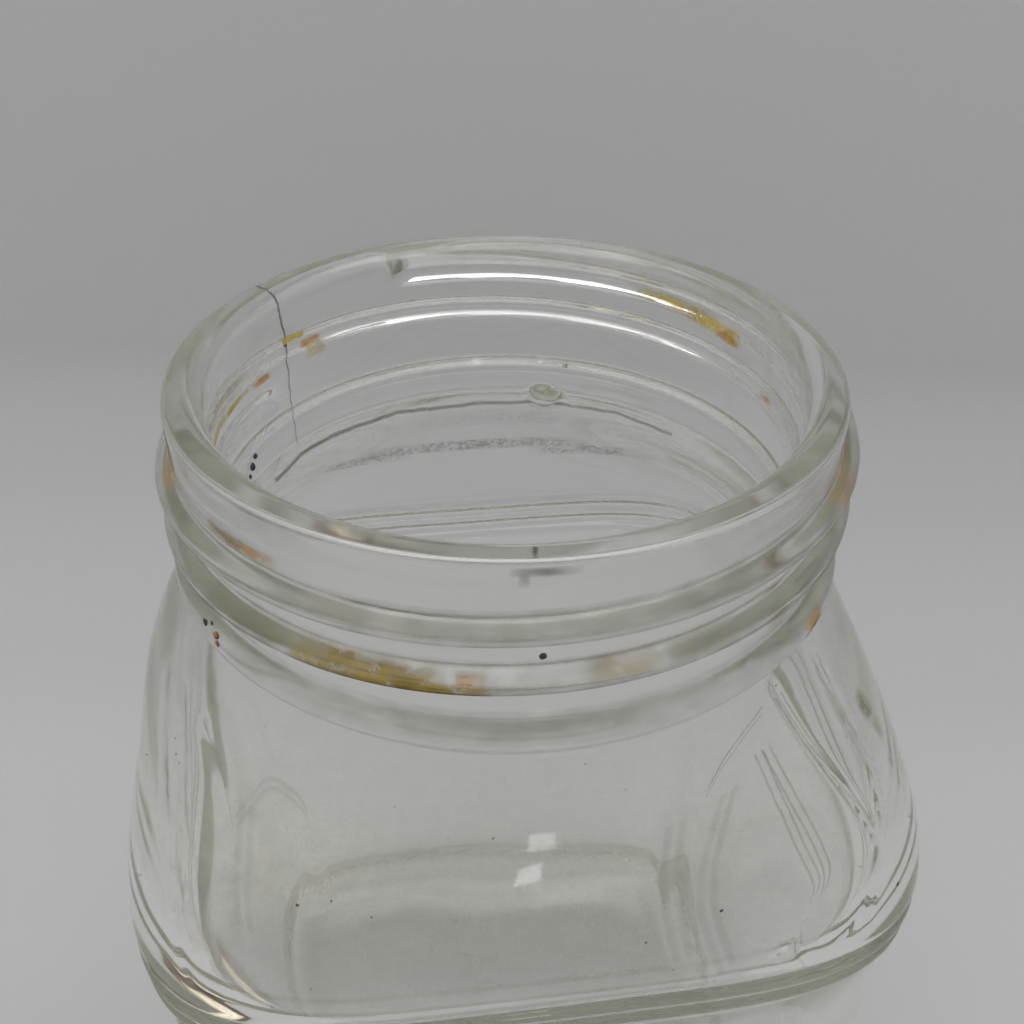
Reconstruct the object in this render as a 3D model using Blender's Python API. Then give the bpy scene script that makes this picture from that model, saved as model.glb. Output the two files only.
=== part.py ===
"""A square glass preserving jar with a round screw neck, and its two-piece steel closure lying beside it."""

import math

import bmesh
import bpy

MM = 0.001

# The jar's overall sizes: the body is a rounded square and the neck above it is round.
JAR_HEIGHT = 145.0 * MM
BODY_HALF = 42.5 * MM
BODY_EXPONENT = 4.55
WALL = 3.6 * MM

# The finish, from the rim down. Depths are measured below the rim.
NECK_RADIUS = 33.2 * MM
LIP_LAND_IN = 0.9 * MM
LIP_LAND_WIDTH = 1.2 * MM
LIP_ROUND_DEPTH = 2.0 * MM
THREAD_HEIGHT = 1.7 * MM
THREAD_WIDTH = 3.0 * MM
THREAD_PITCH = 5.08 * MM
THREAD_FIRST_DEPTH = 3.9 * MM
THREAD_START = math.radians(104.0)
THREAD_SWEEP = math.radians(690.0)
THREAD_FADE = math.radians(12.0)
THREAD_ROW = 0.75 * MM
BEAD_DEPTH = 18.0 * MM
BEAD_HALF_WIDTH = 2.2 * MM
BEAD_HEIGHT = 1.7 * MM
NECK_DEPTH = 20.6 * MM

# The shoulder turns the round neck into the square body, and ends in a ledge over the panels.
SHOULDER_DEPTH = 45.9 * MM
SHOULDER_SWELL = 1.57
SHOULDER_SQUARING = 2.28
SHOULDER_ROWS = 9
LEDGE_WIDTH = 3.0 * MM
LEDGE_FALL = 3.0 * MM
PANEL_RECESS = 1.6 * MM

# The base: a heel bulge below the panels, a bearing ring, and a raised middle.
HEEL_BULGE = 0.2 * MM
HEEL_TOP = 17.0 * MM
HEEL_RADIUS = 6.4 * MM
BEARING_WIDTH = 4.0 * MM
PUSH_UP = 2.2 * MM
FLOOR = 7.0 * MM
FLOOR_RADIUS = 9.0 * MM

# The closure is sized from the neck that it screws on to.
THREAD_CLEARANCE = 0.5 * MM
SEAT_GAP = 0.3 * MM
BAND_SHEET = 0.8 * MM
BAND_HEIGHT = 16.5 * MM
BAND_FLANGE = 7.0 * MM
BAND_CORNER = 1.6 * MM
BAND_CURL = 1.1 * MM
LID_SHEET = 0.7 * MM
LID_EDGE_RISE = 1.1 * MM
LID_PANEL_STEP = 1.1 * MM
LID_PANEL_SLOPE = 1.0 * MM
LID_BUTTON_RADIUS = 14.0 * MM
LID_BUTTON_RISE = 0.5 * MM
SEAL_MARGIN = 0.5 * MM
SEAL_HEIGHT = 1.3 * MM
SEAL_EDGE = 0.35 * MM

# The closure lies upside down on the table, beside the jar and a little in front of it.
CLOSURE_APART = 9.0 * MM
CLOSURE_AHEAD = 28.0 * MM

SEGMENTS = 72

# Sizes that follow from the ones above.
PANEL_HALF = BODY_HALF - PANEL_RECESS
HEEL_HALF = BODY_HALF - HEEL_BULGE
MOUTH_RADIUS = NECK_RADIUS - WALL
BAND_INNER = NECK_RADIUS + THREAD_HEIGHT + THREAD_CLEARANCE
BAND_OUTER = BAND_INNER + BAND_SHEET
CLOSURE_RADIUS = BAND_OUTER + BAND_CURL
LID_RADIUS = NECK_RADIUS
JAR_X = CLOSURE_APART / 2 + CLOSURE_RADIUS
JAR_Y = (CLOSURE_AHEAD + CLOSURE_RADIUS - BODY_HALF) / 2
CLOSURE_X = -(CLOSURE_APART / 2 + BODY_HALF)
CLOSURE_Y = JAR_Y - CLOSURE_AHEAD


def rounded_square(half, exponent, angle):
    """Distance from the axis to a rounded square's outline; the exponent 2 gives a circle."""
    across = abs(math.cos(angle)) ** exponent
    along = abs(math.sin(angle)) ** exponent
    return half / (across + along) ** (1.0 / exponent)


def thread_lift(angle, depth):
    """Height of the screw thread over the neck. It runs downwards clockwise, seen from above."""
    first = (THREAD_START - angle) % math.tau
    lift = 0.0
    for sweep in (first, first + math.tau):
        middle = THREAD_FIRST_DEPTH + THREAD_PITCH * sweep / math.tau
        aside = abs(depth - middle) / (THREAD_WIDTH / 2)
        fade = min(1.0, sweep / THREAD_FADE, (THREAD_SWEEP - sweep) / THREAD_FADE)
        if aside < 1.0 and fade > 0.0:
            lift = max(lift, THREAD_HEIGHT * fade * math.cos(aside * math.pi / 2))
    return lift


def outline(half, exponent, z, threaded=False):
    """One closed row of points round the axis."""
    row = []
    for step in range(SEGMENTS):
        angle = math.tau * step / SEGMENTS
        reach = rounded_square(half, exponent, angle)
        if threaded:
            reach += thread_lift(angle, JAR_HEIGHT - z)
        row.append((reach * math.cos(angle), reach * math.sin(angle), z))
    return row


def shoulder(depth):
    """Half width and exponent of the jar's outside between the neck and the ledge."""
    part = (depth - NECK_DEPTH) / (SHOULDER_DEPTH - NECK_DEPTH)
    swell = 1.0 - (1.0 - part) ** SHOULDER_SWELL
    square = math.sin(part * math.pi / 2) ** SHOULDER_SQUARING
    return NECK_RADIUS + (BODY_HALF - NECK_RADIUS) * swell, 2.0 + (BODY_EXPONENT - 2.0) * square


def shoulder_depths():
    """Depths of the shoulder's rows, from the ledge up to the neck."""
    span = SHOULDER_DEPTH - NECK_DEPTH
    return [SHOULDER_DEPTH - span * row / SHOULDER_ROWS for row in range(SHOULDER_ROWS + 1)]


def base_rows():
    """The jar's outside from the middle of the base up to the top of the heel."""
    rest_out = HEEL_HALF - HEEL_RADIUS
    rest_in = rest_out - BEARING_WIDTH
    rows = [[(0.0, 0.0, PUSH_UP)]]
    rows.append(outline(rest_in - 2 * PUSH_UP, BODY_EXPONENT, PUSH_UP))
    rows.append(outline(rest_in - PUSH_UP, BODY_EXPONENT, PUSH_UP / 2))
    rows.append(outline(rest_in, BODY_EXPONENT, 0.0))
    for step in range(5):
        turn = step * math.pi / 8
        half = rest_out + HEEL_RADIUS * math.sin(turn)
        rows.append(outline(half, BODY_EXPONENT, HEEL_RADIUS * (1.0 - math.cos(turn))))
    middle = HEEL_RADIUS + (HEEL_TOP - HEEL_RADIUS) / 2
    rows.append(outline(HEEL_HALF - 0.2 * PANEL_RECESS, BODY_EXPONENT, middle))
    rows.append(outline(PANEL_HALF, BODY_EXPONENT, HEEL_TOP))
    return rows


def ledge_rows():
    """The outside of the step from the recessed panels out to the ledge."""
    bottom = JAR_HEIGHT - SHOULDER_DEPTH - LEDGE_WIDTH
    rows = []
    for step in range(4):
        part = step / 3
        half = PANEL_HALF + PANEL_RECESS * (1.0 - math.cos(part * math.pi)) / 2
        rows.append(outline(half, BODY_EXPONENT, bottom - LEDGE_FALL * (1.0 - part)))
    return rows


def neck_rows():
    """The outside of the neck from the bead up to the last row of the thread."""
    rows = []
    for step in range(7):
        aside = step / 3 - 1.0
        reach = NECK_RADIUS + BEAD_HEIGHT * math.cos(aside * math.pi / 2) ** 0.8
        z = JAR_HEIGHT - BEAD_DEPTH + BEAD_HALF_WIDTH * aside
        rows.append(outline(reach, 2.0, z, threaded=True))
    depth = BEAD_DEPTH - BEAD_HALF_WIDTH - THREAD_ROW
    while depth > LIP_ROUND_DEPTH + THREAD_ROW / 2:
        rows.append(outline(NECK_RADIUS, 2.0, JAR_HEIGHT - depth, threaded=True))
        depth -= THREAD_ROW
    return rows


def lip_rows():
    """The rim, rounded on both sides of a narrow flat land."""
    land_in = MOUTH_RADIUS + LIP_LAND_IN
    land_out = land_in + LIP_LAND_WIDTH
    rows = []
    for step in range(4):
        turn = step * math.pi / 6
        reach = land_out + (NECK_RADIUS - land_out) * math.cos(turn)
        rows.append(outline(reach, 2.0, JAR_HEIGHT - LIP_ROUND_DEPTH * (1.0 - math.sin(turn))))
    for step in range(3):
        turn = step * math.pi / 4
        reach = land_in - LIP_LAND_IN * math.sin(turn)
        rows.append(outline(reach, 2.0, JAR_HEIGHT - LIP_ROUND_DEPTH * (1.0 - math.cos(turn))))
    return rows


def inner_rows():
    """The jar's inside from the neck down to the middle of the floor."""
    rows = []
    for depth in reversed(shoulder_depths()):
        half, exponent = shoulder(depth)
        half = min(half - WALL, PANEL_HALF - WALL)
        rows.append(outline(half, exponent, JAR_HEIGHT - depth))
    half = PANEL_HALF - WALL
    for step in range(4):
        turn = step * math.pi / 6
        reach = half - FLOOR_RADIUS * (1.0 - math.cos(turn))
        rows.append(outline(reach, BODY_EXPONENT, FLOOR + FLOOR_RADIUS * (1.0 - math.sin(turn))))
    rows.append([(0.0, 0.0, FLOOR)])
    return rows


def jar_rows():
    """All rows of the jar, from the middle of its underside to the middle of its floor."""
    rows = base_rows() + ledge_rows()
    for depth in shoulder_depths()[:-1]:
        half, exponent = shoulder(depth)
        rows.append(outline(half, exponent, JAR_HEIGHT - depth))
    return rows + neck_rows() + lip_rows() + inner_rows()


def turned(profile):
    """Rows of a round piece from the (radius, height) points of its profile."""
    rows = []
    for reach, z in profile:
        rows.append(outline(reach, 2.0, z) if reach > 0.0 else [(0.0, 0.0, z)])
    return rows


def band_profile():
    """Half section of the screw band, upside down with its flange on the table."""
    flange_in = BAND_OUTER - BAND_FLANGE
    curl = BAND_OUTER - BAND_SHEET / 2
    curl_z = BAND_HEIGHT - BAND_CURL - BAND_SHEET / 2
    points = [(flange_in, BAND_SHEET), (flange_in, 0.0)]
    for step in range(4):
        turn = step * math.pi / 6
        reach = BAND_OUTER - BAND_CORNER * (1.0 - math.sin(turn))
        points.append((reach, BAND_CORNER * (1.0 - math.cos(turn))))
    for step in range(5):
        turn = -math.pi / 3 + step * math.pi / 4.5
        swell = BAND_CURL + BAND_SHEET / 2
        points.append((curl + swell * math.cos(turn), curl_z + swell * math.sin(turn)))
    points.append((BAND_INNER, BAND_HEIGHT - BAND_CURL))
    inner_corner = BAND_CORNER - BAND_SHEET
    for step in range(3):
        turn = step * math.pi / 4
        reach = BAND_INNER - inner_corner * (1.0 - math.cos(turn))
        points.append((reach, BAND_SHEET + inner_corner * (1.0 - math.sin(turn))))
    return points


def lid_levels():
    """Heights of the lid's channel and panel, with the lid upside down on the band's flange."""
    channel = BAND_SHEET + SEAT_GAP
    return channel, channel + LID_PANEL_STEP


def lid_profile():
    """Half section of the lid: a button, a panel, a step, the seal's channel, and an upturned edge."""
    channel, panel = lid_levels()
    channel_in = MOUTH_RADIUS - SEAL_MARGIN
    edge_in = LID_RADIUS - LID_SHEET
    button_in = LID_BUTTON_RADIUS - LID_PANEL_SLOPE
    return [
        (0.0, panel - LID_BUTTON_RISE),
        (button_in, panel - LID_BUTTON_RISE),
        (LID_BUTTON_RADIUS, panel),
        (channel_in - LID_PANEL_SLOPE, panel),
        (channel_in, channel),
        (LID_RADIUS - LID_SHEET / 2, channel),
        (LID_RADIUS, channel + LID_SHEET / 2),
        (LID_RADIUS, channel + LID_SHEET + LID_EDGE_RISE),
        (edge_in, channel + LID_SHEET + LID_EDGE_RISE),
        (edge_in, channel + LID_SHEET),
        (channel_in + LID_SHEET / 2, channel + LID_SHEET),
        (channel_in - LID_PANEL_SLOPE + LID_SHEET / 2, panel + LID_SHEET),
        (LID_BUTTON_RADIUS, panel + LID_SHEET),
        (button_in, panel + LID_SHEET - LID_BUTTON_RISE),
        (0.0, panel + LID_SHEET - LID_BUTTON_RISE),
    ]


def seal_profile():
    """Half section of the sealing ring in the lid's channel."""
    bottom = lid_levels()[0] + LID_SHEET + SEAT_GAP
    inner = MOUTH_RADIUS + SEAL_MARGIN
    outer = LID_RADIUS - LID_SHEET - SEAL_MARGIN
    top = bottom + SEAL_HEIGHT
    return [
        (inner, bottom),
        (outer, bottom),
        (outer, top - SEAL_EDGE),
        (outer - SEAL_EDGE, top),
        (inner + SEAL_EDGE, top),
        (inner, top - SEAL_EDGE),
    ]


def skin(rows, closed):
    """A closed mesh over the rows; a row of one point is the tip of a fan."""
    mesh = bmesh.new()
    lines = [[mesh.verts.new(point) for point in row] for row in rows]
    pairs = list(zip(lines, lines[1:]))
    if closed:
        pairs.append((lines[-1], lines[0]))
    for low, high in pairs:
        for step in range(SEGMENTS):
            after = (step + 1) % SEGMENTS
            corners = [low[step % len(low)], low[after % len(low)]]
            corners += [high[after % len(high)], high[step % len(high)]]
            mesh.faces.new(list(dict.fromkeys(corners)))
    bmesh.ops.recalc_face_normals(mesh, faces=mesh.faces)
    return mesh


def finish(name, colour, roughness, metallic, transmission=0.0):
    """A plain material for one piece."""
    material = bpy.data.materials.new(name)
    material.use_nodes = True
    shader = material.node_tree.nodes["Principled BSDF"]
    shader.inputs["Base Color"].default_value = (*colour, 1.0)
    shader.inputs["Roughness"].default_value = roughness
    shader.inputs["Metallic"].default_value = metallic
    shader.inputs["Transmission Weight"].default_value = transmission
    return material


def piece(name, rows, closed, material, x, y):
    """One named solid, its origin on its own upright axis."""
    shape = skin(rows, closed)
    mesh = bpy.data.meshes.new(name)
    shape.to_mesh(mesh)
    shape.free()
    mesh.materials.append(material)
    for face in mesh.polygons:
        face.use_smooth = True
    node = bpy.data.objects.new(name, mesh)
    node.location = (x, y, 0.0)
    bpy.context.scene.collection.objects.link(node)
    return node


def main():
    for old in list(bpy.data.objects):
        bpy.data.objects.remove(old, do_unlink=True)
    glass = finish("clear_glass", (0.86, 0.90, 0.88), 0.05, 0.0, 1.0)
    plated = finish("plated_lid", (0.72, 0.70, 0.64), 0.32, 1.0)
    compound = finish("sealing_compound", (0.42, 0.13, 0.09), 0.6, 0.0)
    tinned = finish("tinned_band", (0.66, 0.65, 0.62), 0.36, 1.0)
    piece("glass_jar", jar_rows(), False, glass, JAR_X, JAR_Y)
    piece("lid_disc", turned(lid_profile()), False, plated, CLOSURE_X, CLOSURE_Y)
    piece("sealing_ring", turned(seal_profile()), True, compound, CLOSURE_X, CLOSURE_Y)
    piece("screw_band", turned(band_profile()), True, tinned, CLOSURE_X, CLOSURE_Y)


main()
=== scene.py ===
"""A cracked square preserving jar, open, with its rusted steel closure lying beside it on a paper sweep."""

import logging
import math
import random
from dataclasses import asdict, dataclass, field
from enum import Enum

import bmesh
import bpy
import numpy as np
from mathutils import Matrix, Vector, noise


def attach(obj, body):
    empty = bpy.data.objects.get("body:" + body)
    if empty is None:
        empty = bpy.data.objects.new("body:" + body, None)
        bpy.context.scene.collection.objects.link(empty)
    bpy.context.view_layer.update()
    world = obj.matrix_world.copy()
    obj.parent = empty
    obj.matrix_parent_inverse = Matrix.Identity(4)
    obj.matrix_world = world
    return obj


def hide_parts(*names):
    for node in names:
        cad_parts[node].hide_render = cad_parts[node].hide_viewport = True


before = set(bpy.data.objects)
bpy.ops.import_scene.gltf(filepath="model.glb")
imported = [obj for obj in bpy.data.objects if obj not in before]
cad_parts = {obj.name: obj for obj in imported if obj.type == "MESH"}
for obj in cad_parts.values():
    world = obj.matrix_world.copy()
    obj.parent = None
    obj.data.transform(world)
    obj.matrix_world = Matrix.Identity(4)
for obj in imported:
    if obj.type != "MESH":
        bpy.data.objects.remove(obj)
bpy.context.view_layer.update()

LOG = logging.getLogger("jar")
MM = 0.001
JAR_AXIS = Vector((41.8, 11.4, 0.0)) * MM
CLOSURE_AXIS = Vector((-47.0, -16.6, 0.0)) * MM

THREAD_PITCH = 5.08

Colour = tuple[float, float, float]
Path = tuple[tuple[float, float], ...]
Section = list[tuple[float, float]]
Value = bpy.types.NodeSocket | float
Paint = bpy.types.NodeSocket | Colour


class Body(str, Enum):
    """The moving bodies that pieces ride on."""

    JAR = "jar"
    BAND = "band"
    LID = "lid"


class Wall(Enum):
    """Which face of the glass a row of points belongs to."""

    OUTSIDE = 0
    LIP = 1
    INSIDE = 2


class Tone(Enum):
    """Colours of what an old closure and long use left on the glass, and of the painted shade and painted
    light laid over it.
    """

    OCHRE = (0.27, 0.195, 0.03)
    RUST = (0.45, 0.27, 0.08)
    STRAW = (0.90, 0.70, 0.17)
    UMBER = (0.85, 0.47, 0.14)
    LINT = (0.92, 0.92, 0.84)
    OLIVE = (0.14, 0.145, 0.05)
    SOOT = (0.10, 0.10, 0.095)
    # Painted light: a pale film that brightens the shoulder.
    PAINTED_LIGHT = (0.58, 0.58, 0.53)
    # Painted shade, on the thread's ridges and along the folds.
    PAINTED_SHADE = (0.12, 0.125, 0.09)


class NodeGraph:
    """A node tree with short calls for adding and joining nodes."""

    def __init__(self, tree: bpy.types.NodeTree) -> None:
        """Keeps the tree that nodes are added to.

        Args:
            tree: a material's, world's or group's node tree.
        """
        self.tree = tree

    def add(self, kind: str, **settings: object) -> bpy.types.Node:
        """Adds a node and sets its properties.

        Args:
            kind: the node's type name.
            settings: property names with their values.

        Returns:
            The new node.
        """
        node = self.tree.nodes.new(kind)
        for key, value in settings.items():
            setattr(node, key, value)
        return node

    def join(self, source: bpy.types.NodeSocket, target: bpy.types.NodeSocket) -> None:
        """Links an output socket to an input socket."""
        self.tree.links.new(source, target)

    def math(self, operation: str, first: Value, second: Value = 0.0) -> bpy.types.NodeSocket:
        """Adds a math node.

        Args:
            operation: the node's operation.
            first: a socket or a number.
            second: a socket or a number.

        Returns:
            The node's result.
        """
        node = self.add("ShaderNodeMath", operation=operation)
        for value, target in zip((first, second), node.inputs):
            if isinstance(value, bpy.types.NodeSocket):
                self.join(value, target)
            else:
                target.default_value = value
        return node.outputs[0]

    def blend(self, amount: bpy.types.NodeSocket, low: Paint, high: Paint) -> bpy.types.NodeSocket:
        """Blends two colours by a mask.

        Args:
            amount: the mask, 0 for low and 1 for high.
            low: a colour or a colour socket.
            high: a colour or a colour socket.

        Returns:
            The blended colour.
        """
        node = self.add("ShaderNodeMix", data_type="RGBA", clamp_factor=True)
        self.join(amount, node.inputs["Factor"])
        for value, target in zip((low, high), (node.inputs[6], node.inputs[7])):
            if isinstance(value, bpy.types.NodeSocket):
                self.join(value, target)
            else:
                target.default_value = (*value, 1.0)
        return node.outputs[2]

    def range(self, value: bpy.types.NodeSocket, low: float, high: float) -> bpy.types.NodeSocket:
        """Maps a mask from 0..1 to low..high.

        Args:
            value: the mask.
            low: the result where the mask is 0.
            high: the result where the mask is 1.

        Returns:
            The mapped value.
        """
        node = self.add("ShaderNodeMapRange")
        self.join(value, node.inputs["Value"])
        node.inputs["To Min"].default_value = low
        node.inputs["To Max"].default_value = high
        return node.outputs["Result"]

    def effect(
        self, group: bpy.types.NodeTree, where: bpy.types.NodeSocket, **values: float
    ) -> bpy.types.NodeSocket:
        """Places a shared effect.

        Args:
            group: the effect's node group.
            where: the coordinates it reads.
            values: the effect's other inputs by name.

        Returns:
            The effect's mask.
        """
        node = self.add("ShaderNodeGroup", node_tree=group)
        self.join(where, node.inputs["Vector"])
        for key, value in values.items():
            node.inputs[key.capitalize()].default_value = value
        return node.outputs["Mask"]


class Effects:
    """Shared surface effects, each a node group that is built once."""

    patch_detail: float = 7.0
    patch_roughness: float = 0.62
    bare_edge: float = 0.75
    edge_travel: float = 0.5
    line_detail: float = 4.0
    line_from: float = 0.48
    line_to: float = 0.72

    def __init__(self) -> None:
        """Builds both groups."""
        self.patches = self._patches()
        self.scratches = self._scratches()

    @staticmethod
    def _start(
        name: str, values: dict[str, float]
    ) -> tuple[bpy.types.NodeTree, NodeGraph, bpy.types.Node, bpy.types.Node]:
        """Makes an empty group with coordinates, named values and a mask.

        Args:
            name: the group's name.
            values: its inputs with their defaults.

        Returns:
            The group, its graph, its input node and its output node.
        """
        group = bpy.data.node_groups.new(name, "ShaderNodeTree")
        group.interface.new_socket("Vector", in_out="INPUT", socket_type="NodeSocketVector")
        for key, value in values.items():
            socket = group.interface.new_socket(key, in_out="INPUT", socket_type="NodeSocketFloat")
            socket.default_value = value
        group.interface.new_socket("Mask", in_out="OUTPUT", socket_type="NodeSocketFloat")
        graph = NodeGraph(group)
        return group, graph, graph.add("NodeGroupInput"), graph.add("NodeGroupOutput")

    def _patches(self) -> bpy.types.NodeTree:
        """Builds ragged patches of dirt or corrosion.

        Returns:
            The group, whose Cover is how much of the surface the patches take.
        """
        values = {"Scale": 100.0, "Cover": 0.4, "Softness": 0.1}
        group, graph, given, result = self._start("ragged_patches", values)
        cloud = graph.add("ShaderNodeTexNoise")
        cloud.inputs["Detail"].default_value = self.patch_detail
        cloud.inputs["Roughness"].default_value = self.patch_roughness
        graph.join(given.outputs["Vector"], cloud.inputs["Vector"])
        graph.join(given.outputs["Scale"], cloud.inputs["Scale"])
        travel = graph.math("MULTIPLY", given.outputs["Cover"], self.edge_travel)
        edge = graph.math("SUBTRACT", self.bare_edge, travel)
        fit = graph.add("ShaderNodeMapRange", interpolation_type="SMOOTHSTEP")
        graph.join(cloud.outputs["Fac"], fit.inputs["Value"])
        graph.join(graph.math("SUBTRACT", edge, given.outputs["Softness"]), fit.inputs["From Min"])
        graph.join(graph.math("ADD", edge, given.outputs["Softness"]), fit.inputs["From Max"])
        graph.join(fit.outputs["Result"], result.inputs["Mask"])
        return group

    def _scratches(self) -> bpy.types.NodeTree:
        """Builds fine lines along the first coordinate, as rolling and handling leave them.

        Returns:
            The group, whose Stretch is how much shorter the first coordinate is made.
        """
        values = {"Scale": 2500.0, "Stretch": 0.01, "Amount": 0.5}
        group, graph, given, result = self._start("rolled_scratches", values)
        split = graph.add("ShaderNodeSeparateXYZ")
        pull = graph.add("ShaderNodeCombineXYZ")
        graph.join(given.outputs["Vector"], split.inputs["Vector"])
        graph.join(graph.math("MULTIPLY", split.outputs["X"], given.outputs["Stretch"]), pull.inputs["X"])
        graph.join(split.outputs["Y"], pull.inputs["Y"])
        graph.join(split.outputs["Z"], pull.inputs["Z"])
        lines = graph.add("ShaderNodeTexNoise")
        lines.inputs["Detail"].default_value = self.line_detail
        graph.join(pull.outputs["Vector"], lines.inputs["Vector"])
        graph.join(given.outputs["Scale"], lines.inputs["Scale"])
        fit = graph.add("ShaderNodeMapRange")
        fit.inputs["From Min"].default_value = self.line_from
        fit.inputs["From Max"].default_value = self.line_to
        graph.join(lines.outputs["Fac"], fit.inputs["Value"])
        graph.join(given.outputs["Amount"], fit.inputs["To Max"])
        graph.join(fit.outputs["Result"], result.inputs["Mask"])
        return group


def new_material(name: str) -> tuple[bpy.types.Material, NodeGraph, bpy.types.Node]:
    """Makes a material that holds only its shader and output.

    Args:
        name: the material's name.

    Returns:
        The material, its graph and its Principled shader.
    """
    material = bpy.data.materials.new(name)
    material.use_nodes = True
    return material, NodeGraph(material.node_tree), material.node_tree.nodes["Principled BSDF"]


def add_bump(graph: NodeGraph, shader: bpy.types.Node, height: bpy.types.NodeSocket, distance: float) -> None:
    """Roughens a shader's normal by a height.

    Args:
        graph: the material's graph.
        shader: its Principled shader.
        height: the height mask.
        distance: the height of a full mask, in metres.
    """
    bump = graph.add("ShaderNodeBump")
    bump.inputs["Strength"].default_value = 1.0
    bump.inputs["Distance"].default_value = distance
    graph.join(height, bump.inputs["Height"])
    graph.join(bump.outputs["Normal"], shader.inputs["Normal"])


@dataclass(frozen=True)
class Pattern:
    """How fine a ragged pattern is, how much of the surface it takes and how soft its edges are."""

    scale: float
    cover: float
    softness: float


@dataclass(frozen=True)
class GlassFinish:
    """Clear old soda-lime glass with a faint olive depth and some haze on its surface."""

    name: str = "clear_glass"
    ior: float = 1.5
    tint: Colour = (0.998, 0.998, 0.993)
    hazed: Colour = (0.975, 0.975, 0.958)
    clean_roughness: float = 0.012
    hazed_roughness: float = 0.5
    depth_colour: Colour = (0.66, 0.68, 0.54)
    depth_density: float = 9.5
    shadow_tint: Colour = (0.985, 0.985, 0.98)
    smear: Pattern = Pattern(70.0, 0.5, 0.4)
    least_smear: float = 0.45

    def material(self, effects: Effects) -> bpy.types.Material:
        """Builds the glass: refracting, tinted by depth, and letting lamps through.

        Args:
            effects: the shared surface effects.

        Returns:
            The material.
        """
        material, graph, shader = new_material(self.name)
        where = graph.add("ShaderNodeTexCoord").outputs["Object"]
        worn = graph.add("ShaderNodeAttribute", attribute_name="haze").outputs["Fac"]
        smear = graph.effect(effects.patches, where, **asdict(self.smear))
        haze = graph.math("MULTIPLY", worn, graph.range(smear, self.least_smear, 1.0))
        graph.join(graph.blend(haze, self.tint, self.hazed), shader.inputs["Base Color"])
        rough = graph.range(haze, self.clean_roughness, self.hazed_roughness)
        graph.join(rough, shader.inputs["Roughness"])
        shader.inputs["IOR"].default_value = self.ior
        shader.inputs["Transmission Weight"].default_value = 1.0
        output = material.node_tree.nodes["Material Output"]
        # Lamps shine straight through, since the scene has no caustics.
        path = graph.add("ShaderNodeLightPath")
        clear = graph.add("ShaderNodeBsdfTransparent")
        clear.inputs["Color"].default_value = (*self.shadow_tint, 1.0)
        mix = graph.add("ShaderNodeMixShader")
        graph.join(path.outputs["Is Shadow Ray"], mix.inputs["Fac"])
        graph.join(shader.outputs["BSDF"], mix.inputs[1])
        graph.join(clear.outputs["BSDF"], mix.inputs[2])
        graph.join(mix.outputs["Shader"], output.inputs["Surface"])
        depth = graph.add("ShaderNodeVolumeAbsorption")
        depth.inputs["Color"].default_value = (*self.depth_colour, 1.0)
        depth.inputs["Density"].default_value = self.depth_density
        graph.join(depth.outputs["Volume"], output.inputs["Volume"])
        return material


@dataclass(frozen=True)
class FilmFinish:
    """A thin film, used for stains and for painted shade and painted light: its colour and cover come from
    the mesh, its ragged edge from a pattern.
    """

    name: str
    edge: Pattern
    opacity: float = 0.95
    roughness: float = 0.7
    streak_part: float = 0.3
    streak_cover: float = 0.55
    streak_softness: float = 0.25
    streak_dark: Colour = (0.72, 0.68, 0.62)
    streak_light: Colour = (1.15, 1.1, 1.0)
    thinnest: float = 0.2
    thickness: float = 0.00004

    def material(self, effects: Effects) -> bpy.types.Material:
        """Builds the film.

        Args:
            effects: the shared surface effects.

        Returns:
            The material.
        """
        material, graph, shader = new_material(self.name)
        where = graph.add("ShaderNodeTexCoord").outputs["Object"]
        tone = graph.add("ShaderNodeAttribute", attribute_name="tone").outputs["Color"]
        cover = graph.add("ShaderNodeAttribute", attribute_name="cover").outputs["Fac"]
        ragged = graph.effect(effects.patches, where, **asdict(self.edge))
        streaks = Pattern(self.edge.scale * self.streak_part, self.streak_cover, self.streak_softness)
        streak = graph.effect(effects.patches, where, **asdict(streaks))
        darker = graph.add("ShaderNodeMix", data_type="RGBA", blend_type="MULTIPLY")
        darker.inputs["Factor"].default_value = 1.0
        graph.join(tone, darker.inputs[6])
        graph.join(graph.blend(streak, self.streak_dark, self.streak_light), darker.inputs[7])
        graph.join(darker.outputs[2], shader.inputs["Base Color"])
        solid = graph.math("MULTIPLY", cover, graph.range(ragged, self.thinnest, 1.0))
        graph.join(graph.math("MULTIPLY", solid, self.opacity), shader.inputs["Alpha"])
        shader.inputs["Roughness"].default_value = self.roughness
        add_bump(graph, shader, ragged, self.thickness)
        return material


@dataclass(frozen=True)
class CrackFinish:
    """The dark, rust-stained line of a crack."""

    name: str = "crack_line"
    clean: Colour = (0.055, 0.05, 0.038)
    stained: Colour = (0.13, 0.075, 0.022)
    rust: Pattern = Pattern(260.0, 0.5, 0.12)
    breaks: Pattern = Pattern(1400.0, 0.8, 0.2)
    faintest: float = 0.6
    roughness: float = 0.6

    def material(self, effects: Effects) -> bpy.types.Material:
        """Builds the crack's colour, which fades with the cover of its mesh.

        Args:
            effects: the shared surface effects.

        Returns:
            The material.
        """
        material, graph, shader = new_material(self.name)
        where = graph.add("ShaderNodeTexCoord").outputs["Object"]
        cover = graph.add("ShaderNodeAttribute", attribute_name="cover").outputs["Fac"]
        rust = graph.effect(effects.patches, where, **asdict(self.rust))
        graph.join(graph.blend(rust, self.clean, self.stained), shader.inputs["Base Color"])
        broken = graph.range(graph.effect(effects.patches, where, **asdict(self.breaks)), self.faintest, 1.0)
        graph.join(graph.math("MULTIPLY", cover, broken), shader.inputs["Alpha"])
        shader.inputs["Roughness"].default_value = self.roughness
        return material


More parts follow.
